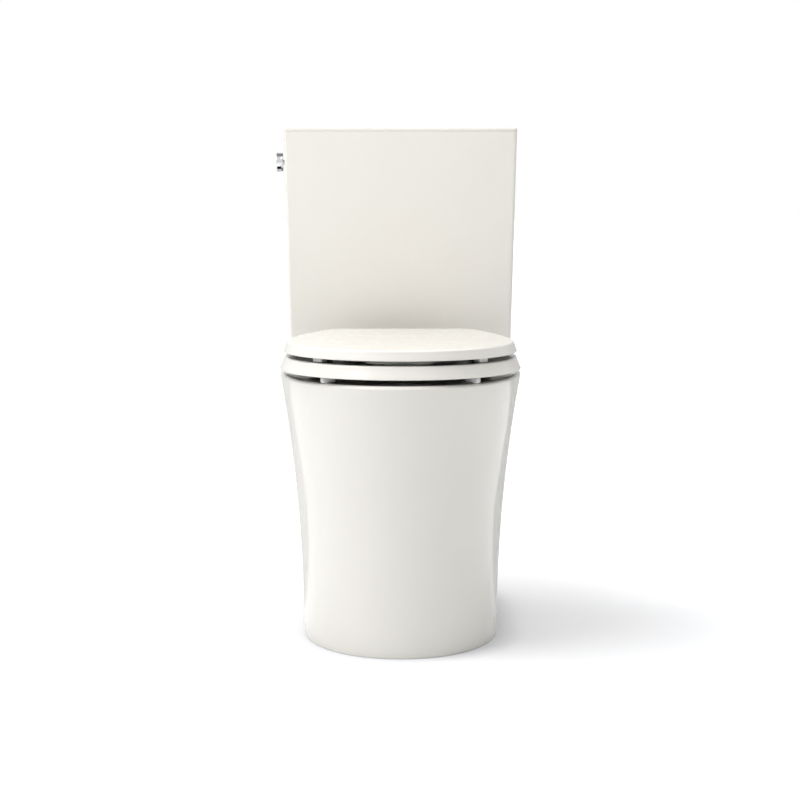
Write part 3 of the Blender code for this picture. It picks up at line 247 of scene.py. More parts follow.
def atHeight(outline, z):
    return [(x, y, z) for x, y in outline]


def frontCurve(front, belly, half, power, steps):
    points = []
    for k in range(steps + 1):
        angle = math.pi / 2 * k / steps
        along = math.cos(angle) ** (2 / power) if k < steps else 0.0
        points.append((half * math.sin(angle) ** (2 / power), atBack(belly - (belly - front) * along)))
    return points


def rearCorner(half, back, radius, steps):
    points = []
    for k in range(steps + 1):
        angle = math.pi / 2 * k / steps
        across = half - radius + radius * math.cos(angle)
        points.append((across, atBack(back - radius + radius * math.sin(angle))))
    return points


# nodes, and groups of them for the effects that several finishes share

def feed(node, inputs):
    # a socket is linked to the node's input, and any other value is set there
    for label, value in inputs.items():
        if isinstance(value, bpy.types.NodeSocket):
            node.id_data.links.new(value, node.inputs[label])
        else:
            node.inputs[label].default_value = value


def newNode(tree, kind, inputs, operation=None):
    node = tree.nodes.new("ShaderNode" + kind)
    if operation:
        node.operation = operation
    feed(node, inputs)
    return node


def newGroup(name, inputs, output):
    group = bpy.data.node_groups.new(name, "ShaderNodeTree")
    group.interface.new_socket(name="Place", in_out="INPUT", socket_type="NodeSocketVector")
    for label in inputs:
        group.interface.new_socket(name=label, in_out="INPUT", socket_type="NodeSocketFloat")
    group.interface.new_socket(name=output, in_out="OUTPUT", socket_type="NodeSocketFloat")
    return group, group.nodes.new("NodeGroupInput").outputs, group.nodes.new("NodeGroupOutput")


def makeMottle():  # slow uneven tone, from Low to High
    group, given, result = newGroup("unevenTone", ("Scale", "Low", "High"), "Value")
    noise = newNode(group, "TexNoise", {
        "Vector": given["Place"], "Scale": given["Scale"], "Detail": 3.0, "Roughness": 0.55,
    })
    spread = newNode(group, "MapRange", {
        "Value": noise.outputs["Fac"], "From Min": 0.3, "From Max": 0.7,
        "To Min": given["Low"], "To Max": given["High"],
    })
    feed(result, {"Value": spread.outputs["Result"]})
    return group


def makeGrain():  # fine raised texture on a slower wave, as a height
    group, given, result = newGroup("fineGrain", ("Fine", "Slow", "Slow share"), "Height")
    place = given["Place"]
    fine = newNode(group, "TexNoise", {"Vector": place, "Scale": given["Fine"], "Detail": 2.0})
    slow = newNode(group, "TexNoise", {"Vector": place, "Scale": given["Slow"], "Detail": 1.0})
    both = {"Factor": given["Slow share"], "A": fine.outputs["Fac"], "B": slow.outputs["Fac"]}
    feed(result, {"Height": newNode(group, "Mix", both).outputs["Result"]})
    return group


def makeSpeckle():  # sparse dots, 1 inside a dot
    group, given, result = newGroup("sparseSpeckle", ("Scale", "Size"), "Mask")
    cells = newNode(group, "TexVoronoi", {"Vector": given["Place"], "Scale": given["Scale"]})
    under = newNode(group, "Math", {0: cells.outputs["Distance"], 1: given["Size"]}, "LESS_THAN")
    feed(result, {"Mask": under.outputs["Value"]})
    return group


toneGroup = makeMottle()
grainGroup = makeGrain()
speckleGroup = makeSpeckle()

# finishes

# painted shade in narrow gaps and under things: a bounced ray that meets the surface nearer than reach
# (fromBelow on undersides) sees colour instead
paintedGapShade = {
    "reach": 0.05,
    "fromBelow": 0.16,
    "underside": -0.5,
    "colour": (0.06, 0.057, 0.052),
}


class Finish:  # a material in the making, with its coordinates and its shader at hand
    def __init__(self, name, colour):
        self.material = bpy.data.materials.new(name)
        self.material.use_nodes = True
        self.material.diffuse_color = (*colour, 1.0)
        self.tree = self.material.node_tree
        self.shader = self.tree.nodes["Principled BSDF"]
        self.place = newNode(self.tree, "TexCoord", {}).outputs["Object"]

    def group(self, kind, *values):
        # the values go into the group's inputs in their order, behind its place
        node = newNode(self.tree, "Group", {})
        node.node_tree = kind
        feed(node, dict(enumerate((self.place, *values))))
        return node.outputs[0]

    def colourBetween(self, mask, first, second):
        node = newNode(self.tree, "Mix", {})
        node.data_type = "RGBA"
        a, b = [(*colour, 1.0) if isinstance(colour, tuple) else colour for colour in (first, second)]
        feed(node, {0: mask, 6: a, 7: b})  # its factor and its two colours
        return node.outputs[2]

    def gapShadedColour(self, colour):  # painted shade in narrow gaps: bounced light that meets the surface close by sees a near-black colour
        tree, reach = self.tree, paintedGapShade["reach"]
        ray = newNode(tree, "LightPath", {}).outputs
        facing = newNode(tree, "SeparateXYZ", {0: newNode(tree, "NewGeometry", {}).outputs["Normal"]})
        under = newNode(tree, "Math", {0: facing.outputs["Z"], 1: paintedGapShade["underside"]}, "LESS_THAN")
        further = {0: under.outputs[0], 1: paintedGapShade["fromBelow"] - reach, 2: reach}
        limit = newNode(tree, "Math", further, "MULTIPLY_ADD")  # the painted shade reaches a little further on undersides
        near = newNode(tree, "Math", {0: ray["Ray Length"], 1: limit.outputs[0]}, "LESS_THAN")
        bounced = newNode(tree, "Math", {0: ray["Is Diffuse Ray"], 1: ray["Is Glossy Ray"]}, "MAXIMUM")
        both = newNode(tree, "Math", {0: near.outputs[0], 1: bounced.outputs[0]}, "MULTIPLY")
        return self.colourBetween(both.outputs[0], colour, paintedGapShade["colour"])


def makeFinish(name, look):
    made = Finish(name, look["light"])
    colour = look["light"]
    if "patches" in look:
        colour = made.colourBetween(made.group(toneGroup, look["patches"], 0.0, 1.0), colour, look["dark"])
    if "dots" in look:
        scale, size, dotColour = look["dots"]
        colour = made.colourBetween(made.group(speckleGroup, scale, size), colour, dotColour)
    # painted shade in the gaps between parts, seen by bounced light only
    if look.get("paintGapShade"):
        colour = made.gapShadedColour(colour)
    strength, depth = look["bump"]
    height = made.group(grainGroup, *look["grain"])
    raised = newNode(made.tree, "Bump", {"Strength": strength, "Distance": depth, "Height": height})
    feed(made.shader, {
        "Base Color": colour,
        "Metallic": look.get("metallic", 0.0),
        "Roughness": made.group(toneGroup, *look["rough"]),
        "Specular IOR Level": look.get("specular", 0.5),
        "Coat Weight": look.get("coat", 0.0),
        "Normal": raised.outputs["Normal"],
    })
    return made.material


def mouldedPlastic(light, dark, rough):
    return {
        "light": light, "dark": dark, "patches": 40.0, "rough": (80.0, rough * 0.85, rough * 1.2),
        "grain": (2600.0, 160.0, 0.3), "bump": (0.12, 0.0004),
    }


def softRubber(light, dark):
    return {
        "light": light, "dots": (900.0, 0.2, dark), "rough": (70.0, 0.6, 0.85),
        "grain": (1900.0, 140.0, 0.4), "bump": (0.25, 0.0005), "specular": 0.35,
    }


def bareMetal(light, dark, rough):
    return {
        "light": light, "dark": dark, "patches": 130.0, "rough": (220.0, rough * 0.7, rough * 1.35),
        "grain": (3000.0, 300.0, 0.5), "bump": (0.15, 0.0003), "metallic": 1.0,
    }


# patches: scale of the change from light to dark; rough: its scale, low and high; dots: scale, size, colour
# grain: scale of the fine and of the slow one, share of the slow one; bump: strength, depth
looks = {
    "glazedChina": {
        "light": (0.868, 0.845, 0.788), "dark": (0.856, 0.831, 0.772), "patches": 9.0,
        "rough": (30.0, 0.07, 0.13), "grain": (420.0, 34.0, 0.75), "bump": (0.03, 0.0015),
        # painted shade in narrow gaps and under things
        "paintGapShade": True,
    },
    "rawChina": {  # the unglazed inside of the skirt
        "light": (0.74, 0.7, 0.62), "dark": (0.66, 0.62, 0.54), "patches": 18.0,
        "dots": (420.0, 0.16, (0.52, 0.47, 0.39)), "rough": (60.0, 0.65, 0.85),
        "grain": (1500.0, 120.0, 0.35), "bump": (0.3, 0.0006), "specular": 0.3,
    },
    "seatPlastic": {
        "light": (0.872, 0.848, 0.792), "dark": (0.86, 0.834, 0.778), "patches": 14.0,
        "rough": (90.0, 0.17, 0.21), "grain": (1100.0, 60.0, 0.1), "bump": (0.01, 0.0003),
        # painted shade in narrow gaps and under things
        "coat": 0.15, "paintGapShade": True,
    },
    "leverChrome": {
        "light": (0.67, 0.675, 0.68), "dark": (0.63, 0.635, 0.645), "patches": 60.0,
        "rough": (140.0, 0.04, 0.11), "grain": (2400.0, 90.0, 0.7), "bump": (0.03, 0.0005),
        "metallic": 1.0,
    },
    "valveWhite": mouldedPlastic((0.8, 0.8, 0.78), (0.77, 0.77, 0.745), 0.35),
    "valveGrey": mouldedPlastic((0.32, 0.33, 0.35), (0.28, 0.29, 0.31), 0.42),
    "strapBlue": mouldedPlastic((0.05, 0.14, 0.36), (0.04, 0.11, 0.3), 0.4),
    "refillVinyl": mouldedPlastic((0.75, 0.77, 0.76), (0.7, 0.72, 0.71), 0.25),
    "bumperVinyl": mouldedPlastic((0.86, 0.845, 0.81), (0.83, 0.815, 0.78), 0.42),
    "washerRubber": softRubber((0.03, 0.03, 0.03), (0.055, 0.054, 0.05)),
    "sealRed": softRubber((0.45, 0.04, 0.03), (0.34, 0.03, 0.024)),
    "boltBrass": bareMetal((0.62, 0.45, 0.18), (0.5, 0.35, 0.13), 0.32),
    "zincSteel": bareMetal((0.6, 0.6, 0.59), (0.5, 0.5, 0.48), 0.36),
}
finishes = {name: makeFinish(name, look) for name, look in looks.items()}
print("finishes made:", len(finishes))

# bowl

fixings = {  # holes by radius, spreads across the part
    "tankBoltHole": 0.0055,
    "tankBoltSpread": 0.166,
    "seatBoltHole": 0.006,
    "seatBoltSpread": 0.140,
    "seatBoltBack": 0.457,
    "anchorHole": 0.005,
    "anchorReach": (0.135, 0.155),
    "anchorBack": 0.500,
    "anchorHeight": 0.050,
}
bowl = {
    "rimHeight": 0.411,
    "width": 0.372,
    "footWidth": 0.302,
    "footSetback": 0.072,
    "footBack": 0.618,
    "footEdge": 0.0015,
    "footCorner": 0.035,
    "bellyBack": 0.300,
    "flarePower": 2.05,
    "nosePower": 2.06,
    "deckWidth": 0.226,
    "deckStart": 0.520,
    "deckEnd": 0.700,
    "deckCorner": 0.030,
    "shoulderHeight": 0.190,
    "rimEdge": 0.006,
    "wall": 0.012,
    "deckThickness": 0.015,
    "noseSteps": 34,
    "sideSteps": 14,
    "cornerSteps": 8,
    "skirtSteps": 30,
    "hollowSteps": 12,
    "over": 0.004,
}
backOpening = {
    "width": 0.170,
    "low": 0.055,
    "high": 0.320,
    "depth": 0.048,
    "corner": 0.012,
}
basin = {
    "front": 0.056,
    "back": 0.388,
    "width": 0.244,
    "lip": 0.030,
    "undercut": 0.016,
    "sideDrop": 0.040,
    "edge": 0.005,
    "wall": 0.011,
    "sumpBack": 0.300,
    "sumpWidth": 0.084,
    "sumpLength": 0.104,
    "sumpFloor": 0.118,
    "formShares": (
        (0.0, 1.0), (0.16, 0.97), (0.34, 0.89), (0.52, 0.74), (0.68, 0.53), (0.82, 0.28), (0.93, 0.08),
        (0.98, 0.0),
    ),
    "fullness": 0.035,
    "floorShare": 0.55,
    "lipUnderside": ((0.35, 0.15), (0.75, 0.5), (1.0, 1.0)),
}
trap = {
    "bore": 0.052,
    "wall": 0.010,
    "start": 0.312,
    "rear": 0.535,
    "weir": 0.245,
    "horn": 0.012,
    "outletBack": 0.431,
    "outletRise": 0.12,
    "shares": (
        (0.0, 0.61), (0.16, 0.54), (0.36, 0.70), (0.55, 0.93), (0.76, 1.0), (0.94, 0.90), (1.0, 0.67),
        (0.90, 0.43), (0.68, 0.24),
    ),
    "pathSteps": 5,
    "sides": 32,
}
inlet = {
    "back": 0.635,
    "radius": 0.058,
    "depth": 0.029,
    "wall": 0.011,
    "well": 0.034,
    "bore": 0.040,
    "drop": 0.052,
    "slimmer": 0.0003,
}


def skirtOutline(z, inset=0.0):
    top = bowl["rimHeight"]
    widest = top - bowl["rimEdge"]
    rise = (min(max(z, 0.0), widest) / widest) ** bowl["flarePower"]
    shoulder = ease((z - bowl["shoulderHeight"]) / (top - bowl["shoulderHeight"]))
    half = mix(bowl["footWidth"], bowl["width"], rise) / 2 - inset
    front = bowl["footSetback"] * (1 - rise) + inset
    rearHalf = mix(bowl["footWidth"], bowl["deckWidth"], shoulder) / 2 - inset
    rear = mix(bowl["footBack"], bowl["deckEnd"], ease(z / top)) - inset
    corner = max(mix(bowl["footCorner"], bowl["deckCorner"], shoulder) - inset, bowl["wall"] / 2)
    side = frontCurve(front, bowl["bellyBack"], half, bowl["nosePower"], bowl["noseSteps"])
    stop = min(bowl["deckStart"], rear - corner)
    for k in range(1, bowl["sideSteps"] + 1):
        share = k / bowl["sideSteps"]
        side.append((mix(half, rearHalf, ease(share)), atBack(mix(bowl["bellyBack"], stop, share))))
    side += rearCorner(rearHalf, rear, corner, bowl["cornerSteps"])
    side.append((0.0, atBack(rear)))
    return bothHalves(side)


def ovalToward(outline, front, back, half):
    # an oval with one point on the way to each point of the outline
    middle = atBack((front + back) / 2)
    reach = (back - front) / 2
    points = []
    for x, y in outline:
        angle = math.atan2(x / half, (middle - y) / reach)
        points.append((half * math.sin(angle), middle - reach * math.cos(angle)))
    return points


def plainOval(front, back, half, steps=40):
    middle, reach = (front + back) / 2, (back - front) / 2
    turns = [math.pi * k / steps for k in range(2 * steps)]
    return [(half * math.sin(turn), atBack(middle - reach * math.cos(turn))) for turn in turns]


def basinSteps(grow):
    # (front, back, half width, height) down the basin, from below its lip to its floor
    front = basin["front"] - basin["undercut"] - grow
    back = basin["back"] + basin["undercut"] + grow
    half = basin["width"] / 2 + basin["undercut"] + grow
    high = bowl["rimHeight"] - basin["lip"] - basin["sideDrop"]
    lowFront = basin["sumpBack"] - basin["sumpLength"] / 2 - grow
    lowBack = basin["sumpBack"] + basin["sumpLength"] / 2 + grow
    lowHalf = basin["sumpWidth"] / 2 + grow
    low = basin["sumpFloor"] - grow

    def step(width, depth):
        ends = mix(lowFront, front, width), mix(lowBack, back, width)
        return *ends, mix(lowHalf, half, width), mix(high, low, depth)

    steps = []
    form = basin["formShares"]
    for (depthA, widthA), (depthB, widthB) in zip(form, form[1:]):
        steps.append(step(widthA, depthA))
        bulge = (widthA - widthB) * basin["fullness"]  # halfway it is rounder than a straight line
        steps.append(step(mix(widthA, widthB, 0.5) + bulge, mix(depthA, depthB, 0.5)))
    steps.append((lowFront, lowBack, lowHalf, mix(high, low, form[-1][0])))
    share, sump = basin["floorShare"], basin["sumpBack"]
    steps.append((mix(sump, lowFront, share), mix(sump, lowBack, share), lowHalf * share, low))
    return steps


def smoothPath(points, perSpan):
    ends = [points[0] * 2 - points[1]] + points + [points[-1] * 2 - points[-2]]
    path = []
    for a, b, c, d in zip(ends, ends[1:], ends[2:], ends[3:]):
        for k in range(perSpan):
            t = k / perSpan
            point = b * 2 + (c - a) * t
            point += (a * 2 - b * 5 + c * 4 - d) * t**2
            point += (b * 3 - a - c * 3 + d) * t**3
            path.append(point / 2)
    return path + [points[-1]]


def tubeAlong(name, path, radius, sides):
    # rings square to a path in the plane X = 0
    across = Vector((1, 0, 0))
    turns = [math.tau * k / sides for k in range(sides)]
    rings = []
    for i, point in enumerate(path):
        ahead, behind = path[min(i + 1, len(path) - 1)], path[max(i - 1, 0)]
        up = across.cross((ahead - behind).normalized()).normalized()
        ring = [point + across * radius * math.cos(turn) + up * radius * math.sin(turn) for turn in turns]
        rings.append([tuple(place) for place in ring])
    return skinOver(name, rings)


def trapTool(name, radius, low):
    places = [
        Vector((0, atBack(mix(trap["start"], trap["rear"], s)), t * trap["weir"])) for s, t in trap["shares"]
    ]
    places.append(Vector((0, atBack(trap["outletBack"]), trap["weir"] * trap["outletRise"])))
    path = smoothPath(places, trap["pathSteps"])
    last = Vector((0, atBack(trap["outletBack"]), low))
    path += [path[-1].lerp(last, 0.5), last]
    return tubeAlong(name, path, radius, trap["sides"])


def flushTools(name, grow):
    # the well under the tank, and the way from it into the basin
    z = bowl["rimHeight"] - inlet["drop"]
    radius = inlet["bore"] / 2 + grow
    ledge = bowl["rimHeight"] - inlet["depth"] - grow
    top = bowl["rimHeight"] + bowl["over"]
    wide, narrow = inlet["radius"] + grow, inlet["well"] + grow
    profile = [(0, top), (wide, top), (wide, ledge), (narrow, ledge), (narrow, z - radius), (0, z - radius)]
    chamber = turnedPiece(name + "Chamber", profile, (0, atBack(inlet["back"]), 0), 48)
    start, end = (0, atBack(basin["back"]), z), (0, atBack(inlet["back"]), z)
    way = roundBar(name, radius - inlet["slimmer"], start, end, steps=32)
    return chamber, way


def basinTool(name, grow):
    steps = basinSteps(grow)
    front, back, half, high = steps[0]
    rings = [atHeight(plainOval(front, back, half), bowl["rimHeight"] + bowl["over"])]
    rings += [atHeight(plainOval(a, b, c), z) for a, b, c, z in steps]
    return skinOver(name, rings)


def bowlRings():
    # up the skirt, over the rim and down the basin
    top, rimEdge, lipEdge = bowl["rimHeight"], bowl["rimEdge"], basin["edge"]
    rings = []
    for rise, inset in quarter(bowl["footEdge"], 0, 30, 60, 90):
        rings.append(atHeight(skirtOutline(rise, inset), rise))
    for k in range(1, bowl["skirtSteps"]):
        z = mix(bowl["footEdge"], top - rimEdge, k / bowl["skirtSteps"])
        rings.append(atHeight(skirtOutline(z), z))
    for inset, fall in quarter(rimEdge, 0, 15, 30, 45, 60, 75, 90):
        rings.append(atHeight(skirtOutline(top - fall, inset), top - fall))
    last = skirtOutline(top, rimEdge)

    def hole(grow):
        front, back, half = basin["front"], basin["back"], basin["width"] / 2
        return ovalToward(last, front - grow, back + grow, half + grow)

    halfway = [(mix(a[0], b[0], 0.5), mix(a[1], b[1], 0.5)) for a, b in zip(last, hole(lipEdge))]
    rings.append(atHeight(halfway, top))
    for fall, grow in quarter(lipEdge, 0, 22, 45, 68, 90):
        rings.append(atHeight(hole(grow), top - fall))
    rings.append(atHeight(hole(0.0), top - basin["lip"]))
    for share, drop in basin["lipUnderside"]:
        rings.append(atHeight(hole(basin["undercut"] * share), top - basin["lip"] - lipEdge * drop * 2))
    return rings + [atHeight(ovalToward(last, a, b, c), z) for a, b, c, z in basinSteps(0.0)]


def makeBowl():
    top, over, wall = bowl["rimHeight"], bowl["over"], bowl["wall"]
    body = skinOver("bowlBody", bowlRings())
    body.data.materials.append(finishes["glazedChina"])
    high = top - bowl["deckThickness"]
    levels = [-over] + [high * k / bowl["hollowSteps"] for k in range(bowl["hollowSteps"] + 1)]
    hollow = skinOver("skirtHollow", [atHeight(skirtOutline(z, wall), z) for z in levels])
    basinWall = basinTool("basinWall", basin["wall"])
    cutAway(hollow, basinWall, trapTool("trapWall", trap["bore"] / 2 + trap["wall"], trap["horn"]))
    cutAway(hollow, *flushTools("flushWall", inlet["wall"]))
    half = backOpening["width"] / 2
    access = softBlock(
        "backOpening", (-half, atBack(bowl["footBack"] - backOpening["depth"]), backOpening["low"]),
        (half, atBack(bowl["deckEnd"] + wall), backOpening["high"]), backOpening["corner"], 6,
    )
    for tool, finish in ((hollow, "rawChina"), (access, "glazedChina")):
        tool.data.materials.clear()
        tool.data.materials.append(finishes[finish])
    cutAway(body, hollow, trapTool("trapBore", trap["bore"] / 2, -over))
    cutAway(body, *flushTools("flushBore", 0.0))
    cutAway(body, access)

    def deckHole(name, x, back):
        y = atBack(back)
        return roundBar(name, fixings[name], (x, y, high - over), (x, y, top + over))

    for side in (-1, 1):
        place = (atBack(fixings["anchorBack"]), fixings["anchorHeight"])
        start, end = [(side * x, *place) for x in fixings["anchorReach"]]
        cutAway(
            body,
            deckHole("tankBoltHole", side * fixings["tankBoltSpread"] / 2, inlet["back"]),
            deckHole("seatBoltHole", side * fixings["seatBoltSpread"] / 2, fixings["seatBoltBack"]),
            roundBar("anchorHole", fixings["anchorHole"], start, end),
        )
    smoothOver(body, degrees=42)
    finished(body, None, "base", "bowl")


makeBowl()
print("bowl made")

# tank and its lid

tank = {
    "front": 0.525,
    "back": 0.724,
    "draft": 0.004,
    "bottom": 0.4155,
    "top": 0.7819,
    "height": 0.787,
    "topWidth": 0.3836,
    "footWidth": 0.364,
    "wall": 0.0105,
    "floor": 0.012,
    "corner": 0.005,
    "edge": 0.009,
    "innerEdge": 0.012,
    "lipRound": 0.0002,
    "valveHole": 0.0408,
    "fillHole": 0.0133,
    "fillPlace": (-0.142, 0.652),
    "over": 0.004,
    "cornerSteps": 8,
}
tankLid = {
    "edge": 0.0049,
    "lowRound": 0.0002,
    "round": 0.0016,
    "plate": 0.009,
    "flange": 0.016,
    "flangeWidth": 0.009,
    "flangeRound": 0.0012,
    "innerCorner": 0.002,
    "root": (0.001, 0.0001),
    "play": 0.0020,
}


def tankHalf(z):
    share = (z - tank["bottom"]) / (tank["height"] - tank["bottom"])
    return mix(tank["footWidth"], tank["topWidth"], share) / 2


def boxOutline(half, front, back, radius, steps):
    side = [(0.0, atBack(front))]
    for k in range(steps + 1):
        angle = math.pi / 2 * k / steps
        across = half - radius + radius * math.sin(angle)
        side.append((across, atBack(front + radius - radius * math.cos(angle))))
    side += rearCorner(half, back, radius, steps)
    side.append((0.0, atBack(back)))
    return bothHalves(side)


def tankOutline(z, inset=0.0):
    share = (tank["height"] - z) / (tank["height"] - tank["bottom"])
    front = tank["front"] + tank["draft"] * share + inset
    radius = max(tank["corner"] - inset / 2, tankLid["edge"])
    outline = boxOutline(tankHalf(z) - inset, front, tank["back"] - inset, radius, tank["cornerSteps"])
    return atHeight(outline, z)


def makeTank():
    low, top, wall = tank["bottom"], tank["top"], tank["wall"]
    floorTop = low + tank["floor"]
    rings = []
    for inset, rise in quarter(tank["innerEdge"], 90, 60, 30, 0):  # rounded floor inside
        rings.append(tankOutline(floorTop + rise, wall + inset))
    for inset, fall in quarter(tank["lipRound"], 0, 45, 90):
        rings.append(tankOutline(top - fall, wall - inset))
    for inset, fall in quarter(tank["lipRound"], 90, 45, 0):
        rings.append(tankOutline(top - fall, inset))
    for inset, rise in quarter(tank["edge"], 0, 15, 30, 45, 60, 75, 90):
        rings.append(tankOutline(low + rise, inset))
    body = skinOver("tankBody", rings)
    body.data.materials.append(finishes["glazedChina"])
    boltX = fixings["tankBoltSpread"] / 2
    holes = (
        (tank["valveHole"], 0.0, inlet["back"]),
        (tank["fillHole"], *tank["fillPlace"]),
        (fixings["tankBoltHole"], -boltX, inlet["back"]),
        (fixings["tankBoltHole"], boltX, inlet["back"]),
    )
    for radius, x, back in holes:
        start, end = [(x, atBack(back), z) for z in (low - tank["over"], floorTop + tank["over"])]
        cutAway(body, roundBar("tankHole", radius, start, end, steps=40))
    start, end = [(x, 0, 0) for x in lever["bushingReach"]]
    hole = roundBar("leverHole", lever["bushingHole"], start, end, steps=32)
    hole.data.transform(leverFrame())
    cutAway(body, hole)
    smoothOver(body, degrees=30)
    finished(body, None, "base", "tank")


def makeTankLid():
    top = tank["height"]
    under = top - tankLid["edge"]
    ceiling = top - tankLid["plate"]
    low = top - tankLid["flange"]
    flangeOut = tank["wall"] + tankLid["play"]
    flangeIn = flangeOut + tankLid["flangeWidth"]
    corner, soft = tankLid["innerCorner"], tankLid["flangeRound"]
    rootInset, rootFall = tankLid["root"]
    rings = [
        tankOutline(ceiling, flangeIn + corner),
        tankOutline(ceiling - corner, flangeIn),
        tankOutline(low + soft, flangeIn),
        tankOutline(low, flangeIn - soft),
        tankOutline(low, flangeOut + soft),
        tankOutline(low + soft, flangeOut),
        tankOutline(under - rootFall, flangeOut),
        tankOutline(under, flangeOut - rootInset),
        tankOutline(under, tankLid["lowRound"]),
        tankOutline(under + tankLid["lowRound"], 0.0),
    ]
    for inset, fall in quarter(tankLid["round"], 0, 15, 30, 45, 60, 75, 90):
        rings.append(tankOutline(top - fall, inset))
    lid = skinOver("tankCover", rings)
    smoothOver(lid, degrees=30)
    finished(lid, "glazedChina", "tank_cover", "tank_lid")


# flush lever, square to the tank's sloping side

lever = {
    "drop": 0.0555,
    "setback": 0.062,
    "height": 0.0314,
    "length": 0.072,
    "thickness": 0.0116,
    "out": 0.0024,
    "round": 0.0012,
    "crown": 0.0003,
    "crownEnd": 0.0004,
    "innerRound": ((0.0007, 0.0), (0.0002, 0.0003), (0.0, 0.0008)),
    "thinner": 0.07,
    "shaft": 0.0040,
    "shaftRoot": 0.0065,
    "shaftEnd": 0.0318,
    "shaftEdge": 0.0005,
    "bushingHole": 0.0082,
    "bushingReach": (-0.006, 0.016),
    "steps": 20,
}


def leverFrame():
    z = tank["height"] - lever["drop"]
    tilt = math.atan((tank["topWidth"] - tank["footWidth"]) / 2 / (tank["height"] - tank["bottom"]))
    place = Vector((-tankHalf(z), atBack(tank["front"] + lever["setback"]), z))
    return Matrix.Translation(place) @ Matrix.Rotation(-tilt, 4, "Y")


def pillRing(inset, x):
    # round-ended bar in the lever's Y and Z, its rear round about the shaft
    radius = lever["height"] / 2 - inset
    reach = lever["length"] - lever["height"]
    points = []
    for start, y in ((-math.pi / 2, 0.0), (math.pi / 2, -reach)):
        for k in range(lever["steps"] + 1):
            angle = start + math.pi * k / lever["steps"]
            points.append((x, radius * math.cos(angle) + y, radius * math.sin(angle)))
    return points


def makeLever():
    near = -lever["out"]
    far = near - lever["thickness"]
    crown, edge = lever["crown"], lever["round"]
    rings = [pillRing(inset, near - depth) for inset, depth in lever["innerRound"]]
    for inset, fall in quarter(1.0, 0, 15, 30, 45, 60, 75, 90):
        rings.append(pillRing(edge * inset, far + crown + (edge - crown) * fall))
    for share in (0.75, 0.5, 0.25):  # slightly crowned face
        inset = mix(lever["height"] / 2 - lever["crownEnd"], edge, share)
        rings.append(pillRing(inset, far + crown * share * share))
    handle = skinOver("leverHandle", rings)
    nose = lever["height"] / 2 - lever["length"]
    for vert in handle.data.vertices:  # its inner side draws away from the tank towards the shaft
        if vert.co.x > near - lever["thickness"] / 2:
            vert.co.x -= (vert.co.y - nose) * lever["thinner"]
    start, end = [(x, 0, 0) for x in (near - lever["shaftRoot"], lever["shaftEnd"])]
    fuse(handle, roundBar("leverShaft", lever["shaft"], start, end, lever["shaftEdge"], 32))
    handle.data.transform(leverFrame())
    smoothOver(handle, degrees=50, flats=False)
    finished(handle, "leverChrome", "lever", "flush_lever")


makeTank()
makeTankLid()
makeLever()
print("tank, tank lid and lever made")

# seat and lid

seat = {
    "width": 0.366,
    "bottom": 0.4192,
    "thickness": 0.020,
    "flare": 0.006,
    "front": 0.003,
    "back": 0.436,
    "backWidth": 0.250,
    "belly": 0.225,
    "holeFront": 0.066,
    "holeBack": 0.346,
    "holeWidth": 0.218,
    "holeEdge": 0.0045,
    "edge": 0.0045,
    "lowEdge": 0.001,
    "dip": 0.001,
    "dipForm": ((0.2, 0.0), (0.35, 0.04), (0.5, 0.16), (0.65, 0.38), (0.8, 0.66), (0.9, 0.85)),
    "corner": 0.016,
    "rearPower": 1.6,
    "noseSteps": 34,
    "sideSteps": 16,
    "cornerSteps": 6,
}
cover = {
    "width": 0.353,
    "bottom": 0.4459,
    "thickness": 0.0169,
    "flare": 0.0035,
    "front": 0.009,
    "back": 0.468,
    "backWidth": 0.238,
    "belly": 0.215,
    "edge": 0.0045,
    "lowEdge": 0.001,
    "crown": 0.0012,
    "crownPower": 2.2,
    "recess": 0.008,
    "recessInset": 0.006,
    "recessBack": 0.432,
    "recessRoof": ((0.3, 0.0), (0.12, 0.0018)),
    "recessMouth": ((0.0004, 0.001), (-0.0006, 0.0)),
}
hinge = {
    "height": 0.026,
    "barrel": 0.0084,
    "barrelEdge": 0.0008,
    "pinHole": 0.0033,
    "over": 0.004,
    "postWidth": 0.018,
    "knuckle": 0.012,
    "neck": 0.011,
    "neckInset": 0.0001,
    "neckEdge": 0.001,
    "arm": 0.012,
    "lidNeckShare": 0.8,
    "baseRadius": 0.016,
    "base": 0.010,
    "baseRound": 0.003,
    "baseGap": 0.0003,
    "cavity": 0.0093,
    "cavityHeight": 0.0053,
    "play": 0.0008,
}
hingeX = fixings["seatBoltSpread"] / 2
hingeY = atBack(fixings["seatBoltBack"])
hingeZ = bowl["rimHeight"] + hinge["height"]


def eggOutline(front, half, back, backHalf, belly, corner):
    side = frontCurve(front, belly, half, bowl["nosePower"], seat["noseSteps"])
    power = seat["rearPower"]
    reach = (1 - (backHalf / half) ** power) ** (1 / power)
    length = (back - belly) / reach
    stop = back - corner
    for k in range(1, seat["sideSteps"] + 1):
        along = mix(belly, stop, k / seat["sideSteps"])
        side.append((half * (1 - ((along - belly) / length) ** power) ** (1 / power), atBack(along)))
    startX = side[-1][0]
    for k in range(1, seat["cornerSteps"] + 1):
        t = k / seat["cornerSteps"]
        across = mix(mix(startX, backHalf, t), mix(backHalf, backHalf - corner, t), t)
        side.append((across, atBack(mix(mix(stop, back, t), back, t))))
    side.append((0.0, atBack(back)))
    return bothHalves(side)


def drawnIn(outline, distance, belly, half):
    middle = atBack(belly)
    reach = max(abs(y - middle) for x, y in outline)
    return [(x * (1 - distance / half), middle + (y - middle) * (1 - distance / reach)) for x, y in outline]


def alongPin(name, radius, start, end, edge=0.0, steps=24):
    return roundBar(name, radius, (start, hingeY, hingeZ), (end, hingeY, hingeZ), edge, steps)


